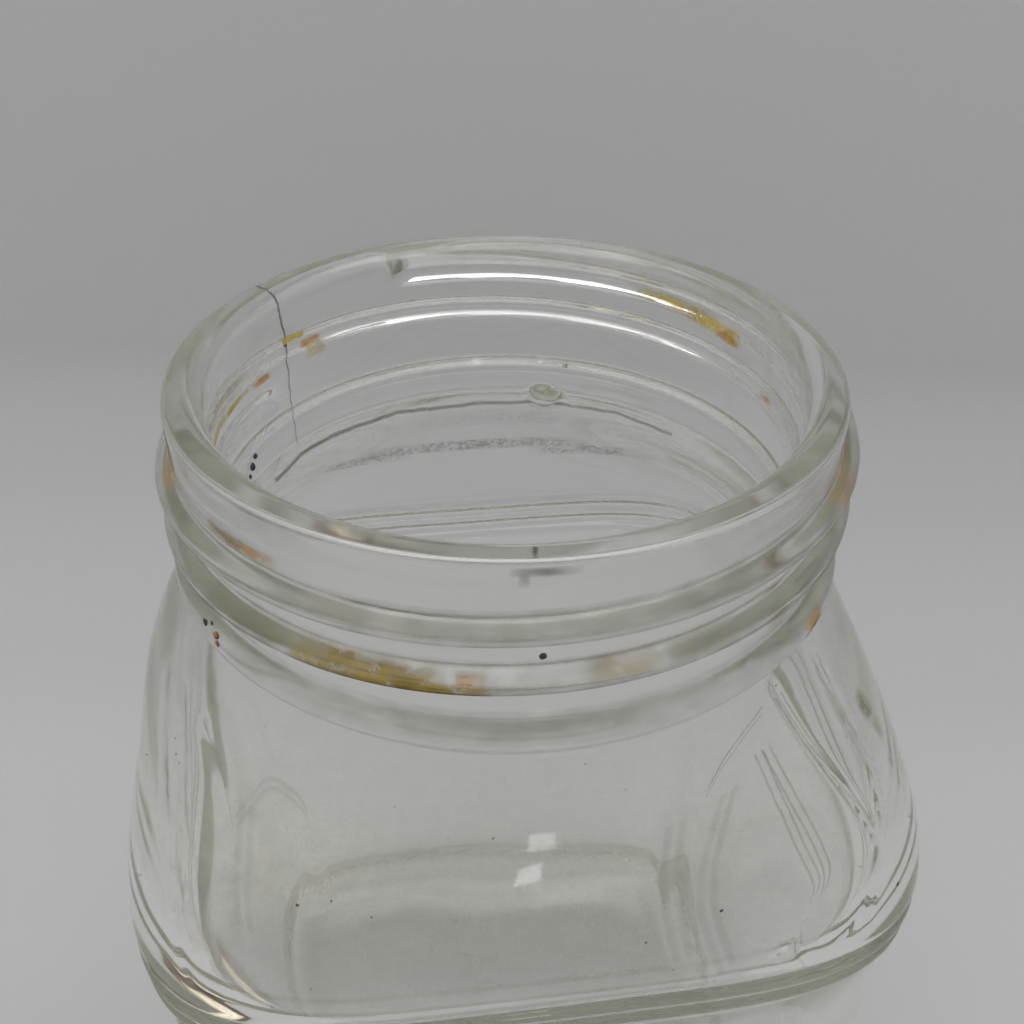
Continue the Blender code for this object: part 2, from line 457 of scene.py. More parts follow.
@dataclass(frozen=True)
class GrainFinish:
    """Loose grit and flakes stuck to the glass."""

    name: str
    light: Colour
    dark: Colour
    mottle: Pattern = Pattern(2200.0, 0.5, 0.15)
    roughness: float = 0.8
    relief: float = 0.00008

    def material(self, effects: Effects) -> bpy.types.Material:
        """Builds the mottled, dull surface of a grain.

        Args:
            effects: the shared surface effects.

        Returns:
            The material.
        """
        material, graph, shader = new_material(self.name)
        where = graph.add("ShaderNodeTexCoord").outputs["Object"]
        mottle = graph.effect(effects.patches, where, **asdict(self.mottle))
        graph.join(graph.blend(mottle, self.light, self.dark), shader.inputs["Base Color"])
        shader.inputs["Roughness"].default_value = self.roughness
        add_bump(graph, shader, mottle, self.relief)
        return material


@dataclass(frozen=True)
class PlateFinish:
    """Plated or lacquered sheet steel, dulled, scratched and rusted in patches."""

    name: str
    bright: Colour
    dulled: Colour
    metal: float
    smooth: float
    matt: float
    rust_cover: float
    rust_light: Colour = (0.34, 0.15, 0.055)
    rust_dark: Colour = (0.13, 0.052, 0.026)
    rust_roughness: float = 0.85
    rust_scale: float = 210.0
    rust_softness: float = 0.05
    dull_patches: Pattern = Pattern(120.0, 0.5, 0.18)
    edge_rust: Pattern = Pattern(380.0, 0.62, 0.1)
    rust_grain: Pattern = Pattern(1500.0, 0.5, 0.2)
    least_grain: float = 0.4
    scratch_scale: float = 3200.0
    scratch_stretch: float = 0.008
    scratch_amount: float = 0.55
    scratch_depth: float = 0.12
    relief: float = 0.00009

    def material(self, effects: Effects) -> bpy.types.Material:
        """Builds the sheet: plating, dull patches, rolled scratches and rust.

        Args:
            effects: the shared surface effects.

        Returns:
            The material.
        """
        material, graph, shader = new_material(self.name)
        where = graph.add("ShaderNodeTexCoord").outputs["Object"]
        along = graph.add("ShaderNodeUVMap", uv_map="wrap").outputs["UV"]
        worn = graph.add("ShaderNodeAttribute", attribute_name="worn").outputs["Fac"]
        dull = graph.effect(effects.patches, where, **asdict(self.dull_patches))
        lines = graph.effect(
            effects.scratches,
            along,
            scale=self.scratch_scale,
            stretch=self.scratch_stretch,
            amount=self.scratch_amount,
        )
        rust_spots = Pattern(self.rust_scale, self.rust_cover, self.rust_softness)
        spots = graph.effect(effects.patches, where, **asdict(rust_spots))
        edges = graph.effect(effects.patches, where, **asdict(self.edge_rust))
        rust = graph.math("MAXIMUM", spots, graph.math("MULTIPLY", worn, edges))
        grain = graph.effect(effects.patches, where, **asdict(self.rust_grain))
        plate = graph.blend(graph.math("MAXIMUM", dull, lines), self.bright, self.dulled)
        rusted = graph.blend(grain, self.rust_light, self.rust_dark)
        graph.join(graph.blend(rust, plate, rusted), shader.inputs["Base Color"])
        graph.join(graph.range(rust, self.metal, 0.0), shader.inputs["Metallic"])
        worn_sheen = graph.range(dull, self.smooth, self.matt)
        sheen = graph.math("MAXIMUM", worn_sheen, graph.range(lines, 0.0, self.matt))
        rusty = graph.range(rust, 0.0, self.rust_roughness)
        graph.join(graph.math("MAXIMUM", sheen, rusty), shader.inputs["Roughness"])
        rough = graph.math("MULTIPLY", rust, graph.range(grain, self.least_grain, 1.0))
        height = graph.math("SUBTRACT", rough, graph.math("MULTIPLY", lines, self.scratch_depth))
        add_bump(graph, shader, height, self.relief)
        return material


@dataclass(frozen=True)
class CompoundFinish:
    """The dull red compound of the seal, crazed and greyed with age."""

    name: str = "sealing_compound"
    fresh: Colour = (0.40, 0.125, 0.085)
    greyed: Colour = (0.36, 0.20, 0.155)
    stained: Colour = (0.19, 0.075, 0.045)
    chalk: Pattern = Pattern(240.0, 0.5, 0.15)
    stains: Pattern = Pattern(110.0, 0.3, 0.08)
    crazing: Pattern = Pattern(1800.0, 0.5, 0.08)
    smooth: float = 0.5
    matt: float = 0.75
    relief: float = 0.00005

    def material(self, effects: Effects) -> bpy.types.Material:
        """Builds the compound's mottled colour and fine crazing.

        Args:
            effects: the shared surface effects.

        Returns:
            The material.
        """
        material, graph, shader = new_material(self.name)
        where = graph.add("ShaderNodeTexCoord").outputs["Object"]
        chalk = graph.effect(effects.patches, where, **asdict(self.chalk))
        stain = graph.effect(effects.patches, where, **asdict(self.stains))
        aged = graph.blend(chalk, self.fresh, self.greyed)
        graph.join(graph.blend(stain, aged, self.stained), shader.inputs["Base Color"])
        graph.join(graph.range(chalk, self.smooth, self.matt), shader.inputs["Roughness"])
        crazing = graph.effect(effects.patches, where, **asdict(self.crazing))
        add_bump(graph, shader, crazing, self.relief)
        return material


@dataclass(frozen=True)
class PaperFinish:
    """Pale seamless paper, with painted shade at the bend and painted light on the upright part above it,
    seen from its face only.
    """

    name: str = "paper_sweep"
    flat: Colour = (0.47, 0.47, 0.47)
    # Painted shade: the paper is painted darker where it begins to rise.
    bend: Colour = (0.43, 0.43, 0.435)
    # Painted light: the upright part is painted lighter to make up for the overhead lamp's grazing light on
    # it.
    upright: Colour = (0.535, 0.535, 0.54)
    bend_from: float = 0.085
    bend_to: float = 0.155
    rise_from: float = 0.015
    rise_to: float = 0.065
    roughness: float = 0.85
    sheen: float = 0.2
    fibre: Pattern = Pattern(1200.0, 0.5, 0.3)
    relief: float = 0.00002

    def material(self, effects: Effects, turn: float) -> bpy.types.Material:
        """Builds the paper's colour along the sweep, with its painted shade and painted light, and a faint
        fibre.

        Args:
            effects: the shared surface effects.
            turn: how far the sweep is turned about Z, in radians.

        Returns:
            The material.
        """
        material, graph, shader = new_material(self.name)
        where = graph.add("ShaderNodeTexCoord").outputs["Object"]
        square = graph.add("ShaderNodeMapping")
        square.inputs["Rotation"].default_value = (0.0, 0.0, -turn)
        graph.join(where, square.inputs["Vector"])
        split = graph.add("ShaderNodeSeparateXYZ")
        graph.join(square.outputs["Vector"], split.inputs["Vector"])
        masks = []
        for axis, low, high in (("Y", self.bend_from, self.bend_to), ("Z", self.rise_from, self.rise_to)):
            fit = graph.add("ShaderNodeMapRange", interpolation_type="SMOOTHSTEP")
            fit.inputs["From Min"].default_value = low
            fit.inputs["From Max"].default_value = high
            graph.join(split.outputs[axis], fit.inputs["Value"])
            masks.append(fit.outputs["Result"])
        # Painted shade at the bend, then painted light on the upright part.
        floor_with_painted_shade = graph.blend(masks[0], self.flat, self.bend)
        graph.join(graph.blend(masks[1], floor_with_painted_shade, self.upright), shader.inputs["Base Color"])
        shader.inputs["Roughness"].default_value = self.roughness
        shader.inputs["Specular IOR Level"].default_value = self.sheen
        fibre = graph.effect(effects.patches, where, **asdict(self.fibre))
        add_bump(graph, shader, fibre, self.relief)
        # The back of the paper is clear, so that the jar can be seen from behind it.
        mix = graph.add("ShaderNodeMixShader")
        graph.join(graph.add("ShaderNodeNewGeometry").outputs["Backfacing"], mix.inputs["Fac"])
        graph.join(shader.outputs["BSDF"], mix.inputs[1])
        graph.join(graph.add("ShaderNodeBsdfTransparent").outputs["BSDF"], mix.inputs[2])
        graph.join(mix.outputs["Shader"], material.node_tree.nodes["Material Output"].inputs["Surface"])
        return material


@dataclass
class Turning:
    """A half section, in millimetres, turned a full circle about an upright axis."""

    section: Section
    columns: int
    closed: bool

    def shape(self) -> bmesh.types.BMesh:
        """Spins the section about the Z axis.

        Returns:
            The shape, in metres, whose vertices keep their place in the section in a layer named row.
        """
        shape = bmesh.new()
        row = shape.verts.layers.int.new("row")
        line = []
        for index, (radius, height) in enumerate(self.section):
            vert = shape.verts.new((radius * MM, 0.0, height * MM))
            vert[row] = index
            line.append(vert)
        pairs = list(zip(line, line[1:]))
        if self.closed:
            pairs.append((line[-1], line[0]))
        edges = [shape.edges.new(pair) for pair in pairs]
        bmesh.ops.spin(
            shape,
            geom=line + edges,
            cent=(0.0, 0.0, 0.0),
            axis=(0.0, 0.0, 1.0),
            angle=math.tau,
            steps=self.columns,
            use_merge=True,
        )
        bmesh.ops.remove_doubles(shape, verts=shape.verts, dist=1e-6)
        bmesh.ops.recalc_face_normals(shape, faces=shape.faces)
        return shape

    def lay_map(self, shape: bmesh.types.BMesh) -> None:
        """Lays a UV map named wrap, in metres: U runs round the axis and V along the section.

        Args:
            shape: the spun shape, still about the Z axis.
        """
        reach = [0.0]
        for (r0, z0), (r1, z1) in zip(self.section, self.section[1:]):
            reach.append(reach[-1] + math.hypot(r1 - r0, z1 - z0) * MM)
        middle = max(radius for radius, _ in self.section) * MM
        layer = shape.loops.layers.uv.new("wrap")
        row = shape.verts.layers.int["row"]
        for face in shape.faces:
            start = math.atan2(face.calc_center_median().y, face.calc_center_median().x)
            for loop in face.loops:
                turn = math.atan2(loop.vert.co.y, loop.vert.co.x) - start
                turn = (turn + math.pi) % math.tau - math.pi
                loop[layer].uv = ((start + turn) * middle, reach[loop.vert[row]])


def rounded(section: Section, radius: float, steps: int = 4, share: float = 0.45) -> Section:
    """Rounds the corners of an open section.

    Args:
        section: (radius, height) points in millimetres.
        radius: the largest rounding, in millimetres.
        steps: points on each corner.
        share: the most of a side that one rounding may take.

    Returns:
        The section with its inner corners rounded and its two ends kept.
    """
    result = [section[0]]
    for before, corner, after in zip(section, section[1:], section[2:]):
        here = Vector(corner)
        back, ahead = Vector(before) - here, Vector(after) - here
        reach = min(radius, back.length * share, ahead.length * share)
        start, end = here + back.normalized() * reach, here + ahead.normalized() * reach
        for step in range(steps + 1):
            part = step / steps
            point = start.lerp(here, part).lerp(here.lerp(end, part), part)
            result.append((point.x, point.y))
    result.append(section[-1])
    return result


def new_piece(name: str, shape: bmesh.types.BMesh, material: bpy.types.Material) -> bpy.types.Object:
    """Turns a finished shape into a smooth object at the origin.

    Args:
        name: the object's name.
        shape: the mesh, which is freed.
        material: its finish.

    Returns:
        The new object, linked to the scene.
    """
    mesh = bpy.data.meshes.new(name)
    shape.to_mesh(mesh)
    shape.free()
    mesh.materials.append(material)
    mesh.polygons.foreach_set("use_smooth", [True] * len(mesh.polygons))
    piece = bpy.data.objects.new(name, mesh)
    bpy.context.scene.collection.objects.link(piece)
    return piece


@dataclass(frozen=True)
class Fold:
    """A narrow fold inside the shoulder: its line in degrees and millimetres below the rim, and its size."""

    path: Path
    height: float = 0.12
    half_width: float = 0.6


FOLDS = (
    Fold(((-54.5, 27.5), (-53.5, 36.0), (-53.0, 39.5), (-59.0, 44.5), (-54.5, 49.0)), 0.15),
    Fold(((-56.0, 27.5), (-55.5, 37.0), (-54.5, 39.5), (-60.5, 45.5)), 0.11),
    Fold(((-47.5, 25.0), (-47.0, 30.0), (-45.0, 36.0), (-44.5, 40.0), (-52.0, 46.0)), 0.15),
    Fold(((-34.5, 26.5), (-39.0, 35.5), (-44.5, 41.0), (-49.0, 45.0)), 0.14),
    Fold(((-62.5, 29.0), (-65.5, 31.0), (-69.0, 35.0), (-69.5, 39.0), (-66.5, 46.5)), 0.13, 0.9),
    Fold(((-72.0, 30.0), (-74.0, 34.5), (-74.0, 38.5), (-72.5, 44.0)), 0.11, 0.9),
    Fold(((-51.5, 25.5), (-61.5, 27.0), (-67.0, 29.0)), 0.09),
    Fold(((-149.5, 28.5), (-141.5, 30.0), (-134.5, 33.0)), 0.11),
    Fold(((-135.5, 32.5), (-133.5, 28.5), (-126.5, 29.0), (-121.5, 34.5)), 0.12, 0.8),
    Fold(((-135.0, 30.5), (-131.0, 36.0), (-129.0, 39.0)), 0.12, 0.8),
    Fold(((-157.5, 28.0), (-142.5, 35.0), (-133.5, 42.5)), 0.06),
    Fold(((-163.5, 29.5), (-147.5, 35.5), (-139.5, 39.5), (-135.0, 45.5)), 0.06),
)


@dataclass
class GlassJar:
    """The moulded jar: square body, round threaded neck. Sizes are in millimetres."""

    height: float = 145.0
    body_half: float = 41.9
    body_exponent: float = 4.55
    wall: float = 3.6
    neck_radius: float = 33.2
    land_in: float = 1.8
    land_width: float = 1.2
    lip_in_depth: float = 2.0
    lip_depth: float = 0.8
    lip_drop: float = 0.05
    thread_height: float = 1.7
    thread_width: float = 3.0
    thread_pitch: float = THREAD_PITCH
    thread_first: float = 3.8
    thread_start: float = math.radians(111.0)
    thread_sweep: float = math.radians(690.0)
    thread_fade: float = math.radians(7.0)
    bead_depth: float = 18.3
    bead_half_width: float = 1.95
    bead_height: float = 1.7
    neck_depth: float = 20.6
    shoulder_depth: float = 45.9
    shoulder_swell: float = 1.72
    shoulder_squaring: float = 2.28
    ledge_end: float = 48.9
    ledge_fall: float = 3.0
    ledge_grooves: tuple[float, ...] = (45.7, 48.3)
    groove_half_width: float = 0.85
    groove_depth: float = 0.75
    panel_recess: float = 1.2
    heel_half: float = 42.3
    heel_top: float = 17.0
    heel_radius: float = 6.4
    bearing_width: float = 4.0
    push_up: float = 2.2
    floor: float = 5.6
    floor_radius: float = 10.0
    full_side: float = math.radians(-170.0)
    full_half_turn: float = math.radians(42.0)
    full_depth: float = 28.0
    full_half_depth: float = 9.5
    fullness: float = 1.3
    lug_angle: float = math.radians(73.0)
    lug_depth: float = 20.8
    lug_half_width: float = 2.0
    lug_half_height: float = 2.3
    lug_height: float = 1.6
    profile_step: float = 0.1
    outer_ease: float = 0.35
    inner_ease: float = 2.5
    calm_depth: float = 16.0
    body_calm: float = 0.35
    outer_stray: float = 0.04
    neck_stray: float = 0.03
    body_stray: float = 0.09
    corner_stray: float = 0.15
    ripple: float = 0.03
    corner_ripple: float = 0.04
    lip_haze: float = 0.4
    inner_haze: float = 0.04
    floor_haze: float = 0.86
    floor_haze_rise: float = 6.0
    outer_haze: float = 0.08
    heel_haze: float = 0.5
    neck_haze: float = 0.05
    neck_front_haze: float = 0.55
    shoulder_side_haze: float = 0.22
    outer_waves: float = 70.0
    inner_waves: float = 60.0
    drawn_waves: float = 26.0
    ripple_waves: float = 2.7
    outer_phase: tuple[float, float, float] = (2.0, 9.0, 5.0)
    ripple_phase: tuple[float, float, float] = (7.0, 3.0, 1.0)
    body_row: float = 3.0
    ledge_row: float = 0.28
    shoulder_row: float = 0.8
    thread_row: float = 0.3
    inner_neck_row: float = 0.9
    inner_shoulder_row: float = 0.5
    ledge_top: float = 44.2
    columns: int = 288
    crowding: float = 0.13
    folds: tuple[Fold, ...] = FOLDS
    finish: GlassFinish = field(default_factory=GlassFinish)

    def shoulder_part(self, depth: np.ndarray) -> np.ndarray:
        """How far down the shoulder a depth is, from 0 at the neck to 1 at the ledge."""
        return np.clip((depth - self.neck_depth) / (self.shoulder_depth - self.neck_depth), 0.0, 1.0)

    def swell(self, depth: np.ndarray) -> np.ndarray:
        """Half width of the plain shoulder and body by depth."""
        grown = 1.0 - (1.0 - self.shoulder_part(depth)) ** self.shoulder_swell
        return self.neck_radius + (self.body_half - self.neck_radius) * grown

    def exponent(self, depth: np.ndarray) -> np.ndarray:
        """How square the plan is at a depth: 2 is a circle."""
        part = self.shoulder_part(depth)
        return 2.0 + (self.body_exponent - 2.0) * np.sin(part * math.pi / 2) ** self.shoulder_squaring

    def fine_depths(self) -> np.ndarray:
        """Evenly spaced depths from above the rim to below the base, for drawing a profile."""
        return np.arange(-4.0, self.height + 4.0, self.profile_step)

    def eased(self, depth: np.ndarray, half: np.ndarray, fine: np.ndarray, ease: float) -> np.ndarray:
        """Softens a profile as a mould does.

        Args:
            depth: the depths asked for, in millimetres.
            half: half widths at the depths of fine.
            fine: evenly spaced depths.
            ease: the width of the softening, in millimetres.

        Returns:
            Half widths at the depths asked for.
        """
        reach = ease / (fine[1] - fine[0])
        ends = int(4 * reach)
        kernel = np.exp(-0.5 * (np.arange(-ends, ends + 1) / reach) ** 2)
        soft = np.convolve(np.pad(half, ends, mode="edge"), kernel / kernel.sum(), mode="valid")
        return np.interp(depth, fine, soft)

    def outer_half(self, depth: np.ndarray) -> np.ndarray:
        """Half width of the outside by depth below the rim, without the thread.

        Args:
            depth: depths in millimetres.

        Returns:
            Half widths in millimetres.
        """
        fine = self.fine_depths()
        half = self.swell(fine)
        aside = np.clip((fine - self.bead_depth) / self.bead_half_width, -1.0, 1.0)
        half = half + self.bead_height * np.maximum(np.cos(aside * math.pi / 2), 0.0)
        for groove in self.ledge_grooves:
            near = np.clip(np.abs(fine - groove) / self.groove_half_width, 0.0, 1.0)
            half = half - self.groove_depth * (1.0 + np.cos(near * math.pi)) / 2
        fall = np.clip((fine - self.ledge_end) / self.ledge_fall, 0.0, 1.0)
        half = half - self.panel_recess * (1.0 - np.cos(fall * math.pi)) / 2
        rise = np.clip((fine - self.height + self.heel_top) / (self.heel_top - self.heel_radius), 0.0, 1.0)
        back = self.heel_half - (self.body_half - self.panel_recess)
        half = half + back * (1.0 - np.cos(rise * math.pi)) / 2
        return self.eased(depth, half, fine, self.outer_ease)

    def inner_half(self, depth: np.ndarray) -> np.ndarray:
        """Half width of the inside by depth below the rim.

        Args:
            depth: depths in millimetres.

        Returns:
            Half widths in millimetres.
        """
        fine = self.fine_depths()
        fall = np.clip((fine - self.ledge_end) / self.ledge_fall, 0.0, 1.0)
        half = self.swell(fine) - self.wall - self.panel_recess * fall
        return self.eased(depth, half, fine, self.inner_ease)

    def thread_lift(self, angle: np.ndarray, depth: np.ndarray) -> np.ndarray:
        """Height of the screw ridge over the neck.

        Args:
            angle: angles about the axis, in radians.
            depth: depths below the rim, in millimetres.

        Returns:
            The ridge's height in millimetres.
        """
        first = np.mod(self.thread_start - angle, math.tau)
        lift = np.zeros_like(depth)
        for sweep in (first, first + math.tau):
            middle = self.thread_first + self.thread_pitch * sweep / math.tau
            aside = np.clip(np.abs(depth - middle) / (self.thread_width / 2), 0.0, 1.0)
            fade = np.clip(np.minimum(sweep, self.thread_sweep - sweep) / self.thread_fade, 0.0, 1.0)
            fade = fade * fade * (3.0 - 2.0 * fade)
            lift = np.maximum(lift, self.thread_height * fade * np.cos(aside * math.pi / 2) ** 1.2)
        return lift

    def lug_lift(self, angle: np.ndarray, depth: np.ndarray) -> np.ndarray:
        """Height of the small moulded lug inside the neck.

        Args:
            angle: angles about the axis, in radians.
            depth: depths below the rim, in millimetres.

        Returns:
            The height in millimetres.
        """
        turn = np.mod(angle - self.lug_angle + math.pi, math.tau) - math.pi
        across = turn * self.neck_radius / self.lug_half_width
        down = (depth - self.lug_depth) / self.lug_half_height
        inside = np.clip(1.0 - across**2 - down**2, 0.0, 1.0)
        return self.lug_height * inside**0.5

    def full_lift(self, angle: np.ndarray, depth: np.ndarray) -> np.ndarray:
        """How much fuller one side of the shoulder is blown.

        Args:
            angle: angles about the axis, in radians.
            depth: depths below the rim, in millimetres.

        Returns:
            The height in millimetres.
        """
        turn = np.mod(angle - self.full_side + math.pi, math.tau) - math.pi
        across = np.clip(np.abs(turn) / self.full_half_turn, 0.0, 1.0)
        down = np.clip(np.abs(depth - self.full_depth) / self.full_half_depth, 0.0, 1.0)
        return self.fullness * (1.0 + np.cos(across * math.pi)) * (1.0 + np.cos(down * math.pi)) / 4

    def plan(self, half: np.ndarray, power: np.ndarray, angle: np.ndarray) -> np.ndarray:
        """Distance from the axis to a rounded square's outline."""
        return half / (np.abs(np.cos(angle)) ** power + np.abs(np.sin(angle)) ** power) ** (1.0 / power)

    def outer_reach(self, angle: np.ndarray, depth: np.ndarray) -> np.ndarray:
        """Distance from the axis to the outside of the neck or shoulder, with its ridges."""
        reach = self.plan(self.outer_half(depth), self.exponent(depth), angle)
        return reach + self.thread_lift(angle, depth) + self.full_lift(angle, depth)

    def inner_reach(self, angle: np.ndarray, depth: np.ndarray) -> np.ndarray:
        """Distance from the axis to the inside of the glass."""
        return self.plan(self.inner_half(depth), self.exponent(depth), angle) + self.full_lift(angle, depth)

    def place(self, angle: float, reach: float, depth: float) -> Vector:
        """A point by its angle, distance from the axis and depth, in metres."""
        spot = Vector((reach * math.cos(angle), reach * math.sin(angle), self.height - depth))
        return spot * MM + JAR_AXIS

    def lip_at(self, reach: float) -> float:
        """Depth of the lip's surface at a distance from the axis.

        Args:
            reach: the distance in millimetres.

        Returns:
            The depth below the rim, in millimetres.
        """
        inner = self.neck_radius - self.wall + self.land_in
        outer = inner + self.land_width
        if reach < inner:
            part = min(1.0, (inner - reach) / self.land_in)
            return self.lip_drop + self.lip_in_depth * (1.0 - math.sqrt(1.0 - part**2))
        part = min(1.0, max(0.0, reach - outer) / (self.neck_radius - outer))
        return self.lip_drop + self.lip_depth * (1.0 - math.sqrt(1.0 - part**2))

    def rows(self) -> list[tuple[Wall, float, float, float]]:
        """Rows from the middle of the underside round to the middle of the floor.

        Returns:
            For each row its wall, half width, plan exponent and depth, in millimetres.
        """
        square = self.body_exponent
        rest = self.heel_half - self.heel_radius
        inner_rest = rest - self.bearing_width
        rows = []
        for part in np.linspace(0.0, 1.0, 12):
            rise = self.push_up * (1.0 + math.cos(part * math.pi)) / 2
            rows.append((Wall.OUTSIDE, inner_rest * part, square, self.height - rise))
        for turn in np.linspace(0.0, math.pi / 2, 12):
            half = rest + self.heel_radius * math.sin(turn)
            rows.append((Wall.OUTSIDE, half, square, self.height - self.heel_radius * (1.0 - math.cos(turn))))
        ledge = self.ledge_end + self.ledge_fall
        # Rows lie closer together over the ledge's grooves and the thread.
        depths = np.concatenate(
            [
                np.arange(self.height - self.heel_radius - 1.0, ledge + 2.5, -self.body_row),
                np.arange(ledge + 1.8, self.ledge_top, -self.ledge_row),
                np.arange(43.8, 24.6, -self.shoulder_row),
                np.arange(24.2, self.lip_depth + 0.15, -self.thread_row),
            ]
        )
        for depth, half, power in zip(depths, self.outer_half(depths), self.exponent(depths)):
            rows.append((Wall.OUTSIDE, float(half), float(power), float(depth)))
        mouth = self.neck_radius - self.wall
        land_out = mouth + self.land_in + self.land_width
        for turn in np.linspace(0.0, math.pi / 2, 10):
            half = land_out + (self.neck_radius - land_out) * math.cos(turn)
            rows.append((Wall.LIP, half, 2.0, self.lip_drop + self.lip_depth * (1.0 - math.sin(turn))))
        for turn in np.linspace(0.0, math.pi / 2, 8):
            half = mouth + self.land_in * (1.0 - math.sin(turn))
            rows.append((Wall.LIP, half, 2.0, self.lip_drop + self.lip_in_depth * (1.0 - math.cos(turn))))
        floor_top = self.height - self.floor - self.floor_radius
        depths = np.concatenate(
            [
                np.arange(2.9, 18.5, self.inner_neck_row),
                np.arange(19.0, 47.0, self.inner_shoulder_row),
                np.arange(48.2, floor_top - 1.0, self.body_row),
            ]
        )
        for depth, half, power in zip(depths, self.inner_half(depths), self.exponent(depths)):
            rows.append((Wall.INSIDE, float(half), float(power), float(depth)))
        reach = self.body_half - self.panel_recess - self.wall
        for turn in np.linspace(0.0, math.pi / 2, 12):
            half = reach - self.floor_radius * (1.0 - math.cos(turn))
            rows.append((Wall.INSIDE, half, square, floor_top + self.floor_radius * math.sin(turn)))
        for part in np.linspace(0.88, 0.0, 9):
            rows.append((Wall.INSIDE, (reach - self.floor_radius) * part, square, self.height - self.floor))
        return rows

    def unevenness(self, wall: Wall, point: Vector, angle: float, depth: float) -> float:
        """How far the blown surface strays from true at a point, in millimetres.

        Args:
            wall: the face of the glass.
            point: the point on the true surface, in metres.
            angle: its angle about the axis, in radians.
            depth: its depth below the rim, in millimetres.

        Returns:
            The distance outwards.
        """
        if wall is Wall.LIP:
            return 0.0
        loose = min(1.0, max(0.0, (depth - self.calm_depth) / self.calm_depth))
        if depth > self.ledge_end + self.ledge_fall:
            loose = self.body_calm
        corner = math.sin(2.0 * angle) ** 2
        if wall is Wall.OUTSIDE:
            wave = noise.noise(point * self.outer_waves + Vector(self.outer_phase))
            return (wave - 1.0) * self.outer_stray * loose
        drawn = Vector(
            (point.x * self.inner_waves, point.y * self.inner_waves, point.z * self.drawn_waves)
        )
        broad = self.neck_stray + (self.body_stray + self.corner_stray * corner) * loose
        ripple = noise.noise(drawn * self.ripple_waves + Vector(self.ripple_phase))
        ripple = ripple * (self.ripple + self.corner_ripple * corner) * loose
        return noise.noise(drawn) * broad + ripple

    def fold_lift(self, angle: np.ndarray, depth: np.ndarray) -> np.ndarray:
        """How much the folds inside the shoulder thicken the glass.

        Args:
            angle: angles about the axis, in radians.
            depth: depths below the rim, in millimetres.

        Returns:
            The added thickness in millimetres.
        """
        across = angle * self.body_half
        lift = np.zeros_like(depth)
        for fold in self.folds:
            near = np.full_like(depth, 1e6)
            line = [(math.radians(turn) * self.body_half, down) for turn, down in fold.path]
            for (u0, v0), (u1, v1) in zip(line, line[1:]):
                du, dv = u1 - u0, v1 - v0
                part = np.clip(((across - u0) * du + (depth - v0) * dv) / (du * du + dv * dv), 0.0, 1.0)
                near = np.minimum(near, np.hypot(across - u0 - part * du, depth - v0 - part * dv))
            lift = np.maximum(lift, fold.height * np.exp(-((near / fold.half_width) ** 2)))
        return lift

    def haze(self, wall: Wall, angle: float, depth: float) -> float:
        """How worn and dull the surface is at a point.

        Args:
            wall: the face of the glass.
            angle: the point's angle about the axis, in radians.
            depth: its depth below the rim, in millimetres.

        Returns:
            The wear, from 0 to 1.
        """
        if wall is Wall.LIP:
            return self.lip_haze
        low = self.height - self.floor - self.floor_radius
        worn = min(1.0, max(0.0, (depth - low + self.floor_haze_rise) / self.floor_radius))
        if wall is Wall.INSIDE:
            return self.inner_haze + self.floor_haze * worn
        if depth > low:
            return self.outer_haze + self.heel_haze * worn
        front = 0.5 - 0.5 * math.sin(angle)
        if depth < self.neck_depth:
            return self.neck_haze + self.neck_front_haze * front
        side = math.cos(angle) ** 4 if depth < self.shoulder_depth else 0.0
        return self.outer_haze + self.shoulder_side_haze * side

    def build(self, effects: Effects) -> bpy.types.Object:
        """Makes the glass and puts it in place of the jar's plain solid.

        Args:
            effects: the shared surface effects.

        Returns:
            The jar.
        """
        rows = self.rows()
        section = [(max(half, 0.0), self.height - depth) for _, half, _, depth in rows]
        shape = Turning(section, self.columns, closed=False).shape()
        haze = shape.verts.layers.float.new("haze")
        layer = shape.verts.layers.int["row"]
        verts = list(shape.verts)
        index = np.array([vert[layer] for vert in verts])
        even = np.array([math.atan2(vert.co.y, vert.co.x) for vert in verts])
        # Columns crowd towards the corners, where the plan turns most.
        angle = even + self.crowding * np.sin(4.0 * even)
        half = np.array([row[1] for row in rows])[index]
        power = np.array([row[2] for row in rows])[index]
        depth = np.array([row[3] for row in rows])[index]
        walls = [rows[at][0] for at in index]
        outside = np.array([wall is not Wall.INSIDE for wall in walls])
        reach = self.plan(half, power, angle) + self.full_lift(angle, depth)
        thicker = self.fold_lift(angle, depth) + self.lug_lift(angle, depth)
        reach = reach + np.where(outside, self.thread_lift(angle, depth), -thicker)
        for at, vert in enumerate(verts):
            point = self.place(angle[at], reach[at], depth[at])
            stray = self.unevenness(walls[at], point, angle[at], float(depth[at])) * MM
            vert[haze] = self.haze(walls[at], float(angle[at]), float(depth[at]))
            if walls[at] is Wall.INSIDE and depth[at] > self.height - self.floor - 0.5 * self.floor_radius:
                vert.co = point + Vector((0.0, 0.0, stray))
            elif depth[at] > self.height - self.heel_radius:
                vert.co = point
            else:
                vert.co = point + Vector((math.cos(angle[at]), math.sin(angle[at]), 0.0)) * stray
        shape.normal_update()
        piece = new_piece("moulded_jar", shape, self.finish.material(effects))
        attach(piece, Body.JAR.value)
        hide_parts("glass_jar")
        return piece


@dataclass(frozen=True)
class Stain:
    """A patch on the glass: its middle in degrees and millimetres below the rim, half sizes and fall."""

    angle: float
    depth: float
    half_turn: float
    half_depth: float
    strength: float
    tone: Tone
    fall: float = -THREAD_PITCH / 360.0


